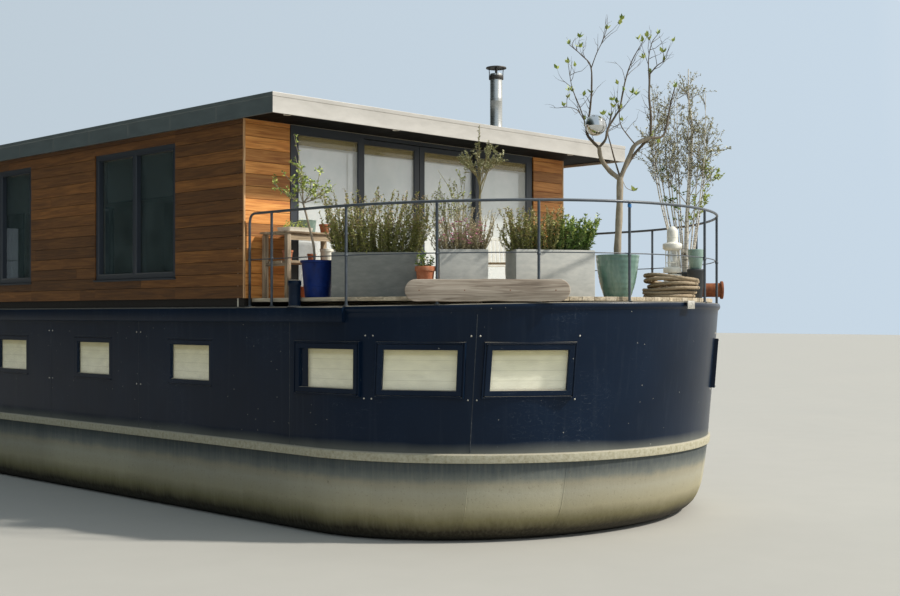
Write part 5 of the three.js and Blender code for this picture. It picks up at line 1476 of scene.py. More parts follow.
class HOUSEBOAT_OT_rails(bpy.types.Operator):
    """Guard rails: posts on foot plates, a bent top tube, a mid rod, and a cord lashing at one post"""

    bl_idname = "houseboat.rails"
    bl_label = "Guard rails"

    def elbow(self, x, y, way):
        """The top tube's turn down into its end post."""
        bend = [(0.0, -0.14), (0.003, -0.1), (0.02, -0.045), (0.05, -0.014), (0.1, -0.001)]
        return [Vector((x, y, DECK_Z + 0.002))] + [Vector((x, y - way * a, RAIL_TOP + z)) for a, z in bend]

    def post(self, form, x, y, lift=0.0, top=RAIL_TOP):
        """A post with its foot plate, and the collar that holds the rod."""
        foot = DECK_Z + lift + 0.001
        form.tube([(x, y, foot), (x, y, top)], RAIL_RADIUS, 16)
        form.turned([(0, 0), (0.036, 0), (0.038, 0.002), (0.038, 0.006), (0.034, 0.008), (0.02, 0.009), (0.0185, 0.02),
                     (0, 0.02)], (x, y, foot), 20)
        form.turned([(0.0172, 0), (0.0215, 0.004), (0.0215, 0.03), (0.0172, 0.034)], (x, y, ROD_Z - 0.017), 16)

    def execute(self, context):
        front, rear, inside, stub = FRONT_Y - 0.04, REAR_Y + 0.06, RAIL_LINE - 0.0243, DECK_Z + 0.3
        bow, rods, stern, stern_rods, lashing = (Form(number) for number in range(91, 96))
        start, stop = self.elbow(-RAIL_LINE, front, 1), self.elbow(RAIL_LINE, front, 1)
        bow.tube([*start, *bow_line(RAIL_LINE, RAIL_TOP, RAIL_RISE), *reversed(stop)], RAIL_RADIUS, 16)
        for x in (-RAIL_LINE, RAIL_LINE):
            self.post(bow, x, BOW_Y + 0.736)
            self.post(bow, x, front, top=stub)
        for degrees in BOW_POSTS:
            at, climb = round_bow(degrees, RAIL_LINE), math.sin(math.radians(degrees)) ** 2
            self.post(bow, at.x, at.y, SHEER * climb, RAIL_TOP + RAIL_RISE * climb)
        bow.piece("bow_guard_rail", "rail", replaces=["bow_rail"], slot="galvanised_rail", sharp=50)
        ends = [Vector((x, front, ROD_Z)) for x in (-inside, inside)]
        rods.tube([ends[0], *bow_line(inside, ROD_Z, RAIL_RISE / 2), ends[1]], ROD_RADIUS, 10)
        rods.piece("bow_rod", "rail", replaces=["bow_mid_rod"], slot="galvanised_rail", sharp=60)
        stern.tube([*self.elbow(-RAIL_LINE, rear, -1), *stern_line(RAIL_LINE, RAIL_TOP)], RAIL_RADIUS, 16)
        self.post(stern, -RAIL_LINE, rear, top=stub)
        for degrees in range(0, 181, 36):
            turn = math.radians(degrees)
            self.post(stern, -RAIL_LINE * math.cos(turn), STERN_Y + STERN_RAIL_REACH * math.sin(turn))
        stern.piece("stern_guard_rail", "rail", replaces=["stern_rail"], slot="galvanised_rail", sharp=50)
        stern_rods.tube([Vector((-inside, rear, ROD_Z)), *stern_line(inside, ROD_Z)], ROD_RADIUS, 10)
        stern_rods.piece("stern_rod", "rail", replaces=["stern_mid_rod"], slot="galvanised_rail", sharp=60)
        top = round_bow(LASHED_POST, RAIL_LINE, RAIL_TOP + RAIL_RISE * math.sin(math.radians(LASHED_POST)) ** 2)
        turns = [2 * math.pi * i / 24 for i in range(25)]
        for k in range(5):
            winding = [top + around(turn, 0.0205, -0.03 - 0.008 * k + 0.004 * math.sin(turn)) for turn in turns]
            lashing.tube(winding, 0.004, 6)
        lashing.piece("cord_lashing", "cord", sharp=60)
        return {"FINISHED"}


class HOUSEBOAT_OT_name_board(bpy.types.Operator):
    """A weathered plank with rounded ends on the rail, left blank"""

    bl_idname = "houseboat.name_board"
    bl_label = "Name board"

    def execute(self, context):
        form = Form(101)
        long, tall, deep, degrees = 1.9, 0.262, 0.032, 43.2
        at = round_bow(degrees, 3.109)
        place = facing(at.x, at.y, 2.792 + tall / 2, degrees)
        outline, half, straight = [], tall / 2 - 0.0045, (long - tall) / 2
        # rounded ends, and long edges that waver by a few millimetres
        for way in (1, -1):
            for k in range(17):
                turn = math.radians(-90 + k * 11.25)
                outline.append((way * (straight + half * math.cos(turn)), way * half * math.sin(turn)))
            for k in range(1, 24):
                x = straight * (1 - k / 12)
                waver = (0.003 * math.sin(x * 7.1 + way) + 0.0015 * math.sin(x * 19)) * math.sin(math.pi * k / 24)
                outline.append((way * x, way * (half + waver)))
        levels = ((0.0, 0.004), (-0.004, 0.0), (-0.026, 0.0), (-0.0305, 0.0035), (-deep, 0.009))
        form.rings([
            [place @ Vector((x * (1 - inset * 2 / long), depth, z * (1 - inset * 2 / tall))) for x, z in outline]
            for depth, inset in levels
        ])
        inverse = place.inverted()
        form.grains = [tuple((inverse @ p).xzy) for p in form.points]
        for x in (-0.78, -0.26, 0.26, 0.78):
            turn = place @ Matrix.Translation((x, -deep, 0.0)) @ Matrix.Rotation(math.pi / 2, 4, "X")
            form.turned([(0.007, -0.002), (0.007, 0.0008), (0.004, 0.002), (0, 0.0022)], sides=12, slot=1, place=turn)
        form.piece("blank_plank", "board", "rust", replaces=["name_board"], slot="weathered_timber", sharp=40)
        return {"FINISHED"}


# Troughs: place, which way they face, length, height
TROUGHS = {
    "a": (-2.45, BOW_Y - 0.446, 41, 1.05, 0.545),
    "b": (-2.01, BOW_Y - 1.48, 50, 0.58, 0.56),
    "c": (-1.18, BOW_Y - 2.15, 60, 1.0, 0.56),
}
TROUGH_DEPTH, TROUGH_WALL = 0.4, 0.028
# Trough, from where to where along it, share of stems, shortest and tallest, leaf length and width, and the
# finishes of low and high leaves
PLANTING = (
    ("a", -0.49, 0.49, 1.1, 0.4, 0.84, 0.042, 0.016, 1, 2),
    ("b", -0.26, 0.26, 1.9, 0.16, 0.62, 0.022, 0.01, 3, 3),
    ("c", -0.46, 0.12, 1.2, 0.3, 0.6, 0.038, 0.015, 1, 2),
    ("c", 0.06, 0.46, 1.3, 0.28, 0.5, 0.055, 0.02, 4, 5),
)
# Where the bare tree's pot and the birch's tub stand
TREE_AT, BIRCH_AT = round_bow(82, 2.56), round_bow(137.7, 2.81)


def rounded(half_x, half_y, radius, z, place):
    """A ring round a rectangle with rounded corners."""
    ring = []
    for k, (sx, sy) in enumerate(((1, 1), (-1, 1), (-1, -1), (1, -1))):
        corner = Vector((sx * (half_x - radius), sy * (half_y - radius), z))
        ring += [place @ (corner + around(math.pi / 2 * (k + i / 4), radius)) for i in range(5)]
    return ring


def soil_heap(form, place, half_x, half_y, z, round_pot=False):
    """Crumbly soil that meets the planter's wall."""
    many_x, many_y = (18, 18) if round_pot else (max(10, int(half_x * 60)), max(10, int(half_y * 60)))

    def crumb(i, j):
        u, v = 2 * i / many_x - 1, 2 * j / many_y - 1
        if round_pot:
            # a square grid pulled into a disc
            u, v = u * math.sqrt(1 - v * v / 2), v * math.sqrt(1 - u * u / 2)
        edge = 1 - max(abs(u), abs(v)) ** 6
        return (u * half_x, v * half_y, z + (form.chance.uniform(-0.004, 0.014) + 0.012) * edge)

    form.cloth(many_x, many_y, crumb, 1, place)


class HOUSEBOAT_OT_troughs(bpy.types.Operator):
    """Fibre cement troughs with eased edges, filled with soil"""

    bl_idname = "houseboat.troughs"
    bl_label = "Troughs"

    def execute(self, context):
        for name, (x, y, degrees, length, top) in TROUGHS.items():
            form, place = Form(ord(name)), facing(x, y, ON_DECK, degrees)
            half, deep, wall = length / 2, TROUGH_DEPTH / 2, TROUGH_WALL
            levels = [(0.005, 0.0, 0.004), (0.0, 0.005, 0.008), (0.0, top - 0.005, 0.008),
                      (0.0015, top - 0.0015, 0.007), (0.005, top, 0.006), (wall - 0.005, top, 0.004),
                      (wall - 0.0015, top - 0.0015, 0.004), (wall, top - 0.005, 0.004), (wall, top - 0.075, 0.004)]
            form.rings([rounded(half - inset, deep - inset, radius, z, place) for inset, z, radius in levels])
            soil_heap(form, place, half - wall - 0.0005, deep - wall - 0.0005, top - 0.068)
            # trough a takes the darker copy of the cement, which is painted shade
            form.piece(f"planter_{name}", "damp_cement" if name == "a" else "cement", "soil",
                       replaces=[f"trough_{name}"], slot="fibre_cement", sharp=40)
        return {"FINISHED"}


def drift(chance, spread, z=0.0):
    """A small step to any side."""
    return Vector((chance.gauss(0, spread), chance.gauss(0, spread), z))


def seen(at, aside, along, z):
    """A place near a tree as it's seen from the shore: to the right, further away, and its height."""
    return Vector((at.x, at.y, z)) + VIEW_ACROSS * aside + VIEW_ALONG * along


def stem(form, foot, tip, thick, slot=0):
    """A stem from foot to tip that bends a little: its line, for leaves to grow on."""
    aside = drift(form.chance, 0.04)
    line = [foot.lerp(tip, t) + aside * math.sin(t * math.pi) for t in (0, 0.25, 0.5, 0.75, 1)]
    form.tube(line, [thick * share for share in (1, 0.85, 0.7, 0.5, 0.3)], 4, slot=slot)
    return smooth_line(line, 4)


def leaves_on(form, line, count, size, slots, start=0.12, spread=0.75, upward=0.5, tipped=1.3):
    """Leaves all along a line: more of the second finish towards the tip."""
    chance = form.chance
    for _ in range(count):
        t = chance.uniform(start, 1)
        at = min(len(line) - 2, int(t * (len(line) - 1)))
        ahead = (line[at + 1] - line[at]).normalized()
        aside = Vector((chance.gauss(0, 1), chance.gauss(0, 1), chance.gauss(0, 0.6))).normalized()
        base = line[at].lerp(line[at + 1], chance.random())
        high = chance.random() < (t - 0.5) * tipped
        length = size[0] * chance.uniform(0.6, 1.25) * (1.1 - 0.35 * t)
        form.leaf(base, ahead * upward + aside * spread, length, size[1] * chance.uniform(0.8, 1.3),
                  chance.uniform(-1, 1) * 0.6 + (t - 0.5) * 0.7, slots[high])


def twigs_on(form, line, count, length, thick, slot=0, leaves=0, size=(0.05, 0.03), slots=(1, 1), rise=0.3, sides=5):
    """Side twigs along a limb, each with a bend or two, and leaves towards their tips."""
    chance, grown = form.chance, []
    for _ in range(count):
        i = chance.randrange(len(line) // 4, len(line) - 1)
        ahead = (line[i + 1] - line[i]).normalized()
        aside = Vector([chance.gauss(0, 1) for _ in range(3)]).normalized()
        way = (ahead * chance.uniform(0.4, 1.0) + aside * 0.85 + up(rise)).normalized()
        reach, twig = length * chance.uniform(0.5, 1.2), [line[i]]
        for _ in range(4):
            way = (way + Vector([chance.gauss(0, 0.2) for _ in range(3)]) + up(0.07)).normalized()
            twig.append(twig[-1] + way * reach / 4)
        form.tube(twig, [thick * (1 - 0.19 * k) for k in range(5)], sides, slot=slot)
        if leaves:
            leaves_on(form, smooth_line(twig, 3), leaves, size, slots, 0.35)
        grown.append(smooth_line(twig, 2))
    return grown


class HOUSEBOAT_OT_shrubs(bpy.types.Operator):
    """What grows in the troughs: rosemary, dry lavender with pink flowers, a young olive tree and a box bush"""

    bl_idname = "houseboat.shrubs"
    bl_label = "Shrubs"

    def execute(self, context):
        settings = context.scene.houseboat_plants
        for name, (x, y, degrees, length, height) in TROUGHS.items():
            form = Form(ord(name) * 3)
            chance, place, soil = form.chance, facing(x, y, ON_DECK, degrees), height - 0.06
            for trough, x0, x1, share, short, tall, long, wide, low, high in PLANTING:
                for _ in range(int(settings.stems * (x1 - x0) * share) * (trough == name)):
                    foot = Vector((chance.uniform(x0, x1), chance.uniform(-0.15, 0.15), soil))
                    rise = short + (tall - short) * chance.random() ** 1.5
                    # stems lean out over the rim, the outer ones most
                    lean = Vector((foot.x * 0.3 / length, foot.y * 0.9, 0)) * rise * 2.2 + drift(chance, 0.05)
                    line = stem(form, place @ foot, place @ (foot + lean + up(rise)), 0.0035)
                    leaves_on(form, line, 84, (long * settings.needle / 0.03, wide), (low, high), 0.04, 0.85, 0.45, 1.0)
            if name == "b":
                self.flowers(form, place, soil)
                self.olive(form, place, soil)
            form.piece(f"planting_{name}", "twig", "rosemary", "tips", "lavender", "dark_leaf", "spring", "petal",
                       "olive_leaf", replaces=[f"shrubs_{name}"], slot="foliage", even=False)
        return {"FINISHED"}

    def flowers(self, form, place, soil):
        """Pink flowers of five petals among the lavender."""
        chance = form.chance
        for _ in range(70):
            at = Vector((chance.uniform(-0.3, 0.28), chance.uniform(-0.3, -0.05), soil + chance.uniform(0.12, 0.42)))
            for k in range(5):
                form.leaf(place @ at, around(2 * math.pi * k / 5, 1, 0.5), 0.026, 0.02, chance.uniform(-1, 1), 6)

    def olive(self, form, place, soil):
        """A young standard tree, and airy shoots to its left."""
        chance = form.chance
        foot = place @ Vector((0.22, 0.04, soil))
        bends = ((0, 0), (0.01, 0.3), (-0.005, 0.62), (0.0, 0.8), (0, 1.02))
        trunk = form.limb([foot + VIEW_ACROSS * a + up(z) for a, z in bends], 5, 0.013, 0.005, 8)
        crown = trunk[-1]
        bends = ((0, 0, 0), (0, 0.01, 0.2), (-0.02, 0.0, 0.36), (-0.01, 0, 0.53))
        leader = form.limb([crown + Vector(bend) for bend in bends], 5, 0.007, 0.004, 6)
        leaves_on(form, leader, 60, (0.035, 0.016), (7, 7), 0.3, 0.6)
        for k in range(17):
            reach = chance.uniform(0.16, 0.31)
            out = around(2.4 * k, reach, chance.uniform(0.04, 0.3))
            points = [trunk[-1 - chance.randrange(9)], crown + out * 0.45 + up(-0.06), crown + out * 0.8, crown + out]
            limb = form.limb(points, 4, 0.0055, 0.0035, 5)
            leaves_on(form, limb, 22, (0.036, 0.019), (7, 7), 0.6, 0.8)
            twigs_on(form, limb, 6, 0.12, 0.002, 0, 11, (0.034, 0.018), (7, 7))
        for _ in range(13):
            low = place @ Vector((chance.uniform(-0.26, 0.1), chance.uniform(-0.1, 0.12), soil))
            high = low + VIEW_ACROSS * chance.uniform(-0.2, 0.02) + up(chance.uniform(0.6, 1.05))
            shoot = stem(form, low, high, 0.005)
            leaves_on(form, shoot, 26, (0.032, 0.015), (7, 5), 0.5, 0.8)
            twigs_on(form, shoot, 8, 0.15, 0.002, 0, 12, (0.03, 0.014), (7, 5))


def pot(seed, at, profile, soil_z, soil_radius, sides=40):
    """A turned pot with soil in it."""
    form = Form(seed)
    form.turned(profile, (at.x, at.y, ON_DECK), sides)
    soil_heap(form, Matrix.Translation((at.x, at.y, ON_DECK)), soil_radius, soil_radius, soil_z, round_pot=True)
    return form


class HOUSEBOAT_OT_tub(bpy.types.Operator):
    """Blue plastic tub with ribs and rope handles' lugs, and a young tree in it"""

    bl_idname = "houseboat.tub"
    bl_label = "Blue tub"

    def execute(self, context):
        at = Vector((-2.8, BOW_Y + 0.25, 0))
        wall = [(0, 0), (0.152, 0), (0.16, 0.006), (0.172, 0.13), (0.176, 0.133), (0.178, 0.15), (0.175, 0.153),
                (0.199, 0.425), (0.204, 0.432), (0.216, 0.436), (0.218, 0.442), (0.2165, 0.458), (0.212, 0.462),
                (0.199, 0.461), (0.194, 0.452), (0.188, 0.40), (0, 0.395)]
        form = pot(11, at, wall, 0.405, 0.1885)
        for turn in (0.6, 0.6 + math.pi):
            form.tube([at + around(turn, r, ON_DECK + 0.395) for r in (0.199, 0.211)], 0.014, 12)
        form.piece("plastic_tub", "blue", "soil", replaces=["blue_tub"], slot="blue_plastic", sharp=45)
        tree = Form(7)
        chance = tree.chance
        bends = ((-0.04, 0, ON_DECK + 0.412), (-0.05, 0, 3.5), (-0.12, 0, 3.8), (-0.18, 0.0, 4.03))
        trunk = tree.limb([seen(at, *bend) for bend in bends], 5, 0.017, 0.005, 9)
        crown = trunk[-1]
        ends = ((-0.55, 0.05, 4.27), (-0.42, -0.12, 4.4), (-0.31, 0.1, 4.9), (-0.2, -0.1, 4.45), (0.02, 0.12, 4.43),
                (0.2, 0.02, 4.25), (-0.05, -0.2, 4.3), (0.1, -0.1, 4.2), (-0.35, -0.15, 4.15), (-0.28, 0.0, 4.62))
        for end in ends:
            tip = seen(at, *end)
            limb = tree.limb([crown, crown.lerp(tip, 0.5) + drift(chance, 0.02, -0.03), tip], 6, 0.0075, 0.005, 6)
            leaves_on(tree, limb, 14, (0.055, 0.024), (1, 2), 0.35, 0.8, 0.3)
            twigs_on(tree, limb, 7, 0.15, 0.0025, 0, 9, (0.05, 0.022), (1, 2), 0.2)
        tree.piece("young_tree", "bark", "spring", "dark_leaf", replaces=["tub_tree"], slot="bark", even=False)
        return {"FINISHED"}


class HOUSEBOAT_OT_pots(bpy.types.Operator):
    """Clay pot with a seedling, celadon pot, two stacked dark pots and the birch's tub"""

    bl_idname = "houseboat.pots"
    bl_label = "Pots"

    def execute(self, context):
        at = Vector((-2.43, BOW_Y - 1.28, 0))
        clay = [(0, 0), (0.074, 0), (0.08, 0.006), (0.107, 0.296), (0.108, 0.3), (0.119, 0.301), (0.122, 0.305),
                (0.124, 0.355), (0.121, 0.36), (0.111, 0.36), (0.108, 0.356), (0.103, 0.3), (0, 0.295)]
        form, middle = pot(14, at, clay, 0.305, 0.103), at + up(ON_DECK + 0.31)
        chance = form.chance
        for _ in range(9):
            tip = middle + Vector((chance.gauss(0, 0.07), chance.gauss(0, 0.07), chance.uniform(0.1, 0.3)))
            leaves_on(form, stem(form, middle, tip, 0.004, 2), 22, (0.05, 0.022), (3, 4))
        form.piece("clay_flowerpot", "terracotta", "soil", "twig", "dark_leaf", "spring", replaces=["clay_pot"],
                   slot="terracotta", sharp=45)
        # the throwing rings of the pot show as shallow waves under the glaze
        wall = [(0.165, 0), (0.19, 0.08), (0.215, 0.16), (0.24, 0.29), (0.2575, 0.42), (0.2655, 0.49)]
        line = smooth_line([(r, 0, z) for r, z in wall], 8)
        profile = [(0, 0), (0.158, 0)] + [(p.x - 0.0012 - 0.0012 * math.sin(p.z * 95), p.z) for p in line]
        profile += [(0.2672, 0.498), (0.268, 0.508), (0.266, 0.517), (0.259, 0.52), (0.246, 0.5195), (0.241, 0.512),
                    (0.23, 0.43), (0, 0.425)]
        form = pot(15, TREE_AT, profile, 0.435, 0.2305, 64)
        form.piece("celadon_planter", "celadon", "soil", replaces=["green_pot"], slot="green_glaze", sharp=45)
        at = round_bow(123.6, 2.86)
        dark = [(0, 0), (0.08, 0), (0.085, 0.006), (0.114, 0.37), (0.118, 0.374), (0.118, 0.396), (0.115, 0.4),
                (0.103, 0.4), (0.1, 0.396), (0.092, 0.34), (0, 0.335)]
        form = pot(14, at, dark, 0.345, 0.0925)
        teal = [(0, 0), (0.06, 0), (0.078, 0.03), (0.1, 0.16), (0.108, 0.26), (0.109, 0.275), (0.104, 0.28),
                (0.098, 0.276), (0.09, 0.24), (0, 0.235)]
        form.turned(teal, (at.x, at.y, ON_DECK + 0.385), 40, slot=2)
        form.piece("dark_flowerpot", "plastic", "soil", "teal", replaces=["dark_pot"], slot="dark_plastic", sharp=45)
        tub = [(0, 0), (0.162, 0), (0.17, 0.008), (0.211, 0.345), (0.215, 0.35), (0.215, 0.375), (0.211, 0.38),
               (0.193, 0.38), (0.19, 0.375), (0.181, 0.32), (0, 0.315)]
        form = pot(13, BIRCH_AT, tub, 0.325, 0.1812)
        form.piece("birch_planter", "plastic", "soil", replaces=["birch_tub"], slot="dark_plastic", sharp=45)
        return {"FINISHED"}


# The bare tree's limbs, thick and thin end first, then as seen from the shore: across, along the view, height
BARE_TREE = (
    (0.046, 0.04, ((0, 0, 3.3), (0, 0, 3.45), (0.023, 0, 3.9), (0.034, 0.01, 4.33))),
    (0.032, 0.024, ((0.034, 0.01, 4.31), (-0.09, 0.03, 4.41), (-0.199, 0, 4.555), (-0.23, -0.02, 4.704))),
    (0.03, 0.024, ((0.034, 0.01, 4.31), (0.14, -0.03, 4.577), (0.213, -0.06, 4.724), (0.394, -0.08, 4.81))),
    (0.02, 0.017, ((-0.23, -0.02, 4.69), (-0.3, 0.02, 4.77), (-0.357, 0.07, 4.852), (-0.37, 0.12, 4.96))),
    (0.017, 0.014, ((-0.37, 0.12, 4.95), (-0.33, 0.14, 5.12), (-0.304, 0.12, 5.38))),
    (0.014, 0.005, ((-0.304, 0.12, 5.37), (-0.314, 0.1, 5.7), (-0.42, 0.1, 5.84), (-0.579, 0.12, 5.982))),
    (0.008, 0.004, ((-0.314, 0.1, 5.68), (-0.25, 0.06, 5.86), (-0.178, 0.04, 6.01), (-0.13, 0.03, 6.15))),
    (0.011, 0.004, ((-0.37, 0.12, 4.97), (-0.45, 0.1, 5.2), (-0.55, 0.08, 5.45), (-0.6, 0.06, 5.74))),
    (0.007, 0.004, ((-0.4, 0.11, 5.05), (-0.5, 0.05, 5.17), (-0.664, 0, 5.2))),
    (0.02, 0.014, ((-0.23, -0.02, 4.69), (-0.15, -0.03, 4.79), (-0.12, 0.03, 4.915), (-0.05, 0.06, 5.04),
                   (0.034, 0.06, 5.17))),
    (0.014, 0.005, ((0.034, 0.06, 5.16), (0.098, 0.04, 5.507), (0.18, 0.02, 5.76), (0.309, 0, 5.993))),
    (0.014, 0.006, ((0.034, 0.01, 4.33), (-0.029, 0.05, 4.555), (-0.071, 0.1, 4.746), (-0.103, 0.14, 4.92),
                    (-0.06, 0.16, 5.1))),
    (0.022, 0.018, ((0.05, 0.02, 4.36), (0.2, 0.05, 4.6), (0.288, 0.03, 4.704), (0.394, -0.08, 4.81))),
    (0.01, 0.004, ((0.213, -0.06, 4.72), (0.1, -0.15, 4.83), (0.013, -0.18, 4.958), (0, -0.2, 5.15),
                   (0.05, -0.22, 5.35))),
    (0.022, 0.012, ((0.394, -0.08, 4.8), (0.394, -0.1, 5.063), (0.373, -0.1, 5.317), (0.383, -0.1, 5.591))),
    (0.011, 0.005, ((0.383, -0.1, 5.58), (0.47, -0.1, 5.68), (0.563, -0.08, 5.74))),
    (0.009, 0.004, ((0.373, -0.1, 5.45), (0.36, -0.14, 5.75), (0.4, -0.15, 5.95), (0.47, -0.15, 6.05))),
    (0.02, 0.008, ((0.394, -0.08, 4.8), (0.563, 0, 4.842), (0.626, 0.04, 5.063), (0.669, 0.06, 5.275),
                   (0.72, 0.08, 5.45))),
)


class HOUSEBOAT_OT_bare_tree(bpy.types.Operator):
    """A potted tree just coming into leaf, with a polished ball hung in it"""

    bl_idname = "houseboat.bare_tree"
    bl_label = "Tree in leaf bud"

    def execute(self, context):
        tree = Form(17)
        for number, (thick, thin, points) in enumerate(BARE_TREE):
            line = smooth_line([seen(TREE_AT, *point) for point in points], 4)
            count, slim = len(line) - 1, 1 if number < 4 else 0.82
            radii = [(thick + (thin - thick) * i / count) * slim * (1 + 0.07 * math.sin(i * 1.9 + number))
                     for i in range(count + 1)]
            tree.tube(line, radii, 12 if number < 2 else 8, slot=0 if number < 3 else 3)
            if number > 2:
                for twig in twigs_on(tree, line, context.scene.houseboat_plants.twigs // 3, 0.3, 0.0045, 3, rise=0.35):
                    twigs_on(tree, twig, 1, 0.16, 0.0028, 3, sides=4)
                    if tree.chance.random() < 0.5:
                        self.tuft(tree, twig[-1])
                self.tuft(tree, line[-1])
        # a shoot low on the trunk
        low = seen(TREE_AT, 0.06, 0, 4.3)
        shoot = smooth_line([low + VIEW_ACROSS * a + up(z) for a, z in ((0, 0), (0.05, -0.1), (0.14, -0.14))], 5)
        tree.tube(shoot, 0.004, 5)
        self.tuft(tree, shoot[-1])
        tree.piece("bud_tree", "bark", "spring", "dark_leaf", "branch", replaces=["bare_tree"], slot="bark", even=False)
        ball, radius = Form(18), 0.13
        centre = Vector((TREE_AT.x - 0.2117, TREE_AT.y + 0.1733, 4.964))
        turns = [math.pi * k / 40 for k in range(41)]
        ball.turned([(radius * math.sin(turn), -radius * math.cos(turn)) for turn in turns], centre, 64)
        ball.tube([centre + up(0.128), seen(TREE_AT, -0.325, 0.125, 5.12)], 0.0015, 6)
        ball.piece("gazing_ball", "mirror", replaces=["mirror_ball"], slot="mirror_ball", sharp=60)
        return {"FINISHED"}

    def tuft(self, form, at):
        """Young leaves that open from one bud."""
        chance = form.chance
        for _ in range(chance.randrange(4, 8)):
            form.leaf(at, drift(chance, 0.5, 0.8), chance.uniform(0.045, 0.09), chance.uniform(0.03, 0.05),
                      chance.uniform(-1, 1), 1 if chance.random() < 0.8 else 2, 0.15)


class HOUSEBOAT_OT_birch(bpy.types.Operator):
    """A white-stemmed birch with a haze of fine twigs and small leaves"""

    bl_idname = "houseboat.birch"
    bl_label = "Birch"

    def execute(self, context):
        tree = Form(27)
        chance, spot, foot = tree.chance, functools.partial(seen, BIRCH_AT), ON_DECK + 0.332
        bends = ((0, 0, foot), (0.011, 0, 3.836), (0.035, 0, 4.318), (0.071, 0, 4.92), (0.084, 0, 5.28),
                 (0.059, 0.02, 5.52), (0.035, 0, 5.76), (0.035, 0, 6.08))
        limbs = [tree.limb([spot(*bend) for bend in bends], 6, 0.034, 0.028, 12)]
        for k in range(12):
            aside = -0.55 + 0.08 * k + chance.uniform(-0.04, 0.04)
            start = spot(aside * 0.22, chance.uniform(-0.06, 0.06), foot)
            top = chance.uniform(5.3, 6.15) - abs(aside + 0.05) * 0.9
            along = chance.uniform(-0.3, 0.3)
            bends = ((0.45, 0.3, 3.7), (0.75, 0.6, 4.3), (0.95, 0.9, 4.9), (1, 1, top))
            limbs.append(tree.limb([start, *(spot(aside * a, along * b, z) for a, b, z in bends)], 5, 0.014, 0.011, 7))
        for limb in limbs:
            high = [p for p in limb if p.z > 3.95]
            for twig in twigs_on(tree, high, 19, 0.36, 0.0038, 3, 13, (0.036, 0.017), (1, 1), 0.35, 4):
                twigs_on(tree, twig, 2, 0.17, 0.002, 3, 10, (0.033, 0.016), (1, 1), 0.25, 3)
        # larger leaves low down: young ones on the right, dark ones on the left
        for aside, z, leaf in ((0.53, 4.98, 1), (0.43, 4.61, 2), (0.34, 4.42, 2), (0.3, 4.7, 2), (0.27, 4.2, 2),
                               (-0.36, 4.62, 4), (-0.3, 4.3, 4)):
            bends = ((0.03, 0, z - 0.45), (aside * 0.6, -0.05, z - 0.15), (aside, -0.08, z))
            side = tree.limb([spot(*bend) for bend in bends], 5, 0.008, 0.005, 5)
            twigs_on(tree, side, 9, 0.17, 0.0025, 3, 9, (0.06, 0.03), (leaf, leaf), 0.3, 4)
        tree.piece("birch_clump", "birch", "grey_leaf", "spring", "branch", "dark_leaf", replaces=["white_birch"],
                   slot="white_paint", even=False)
        return {"FINISHED"}


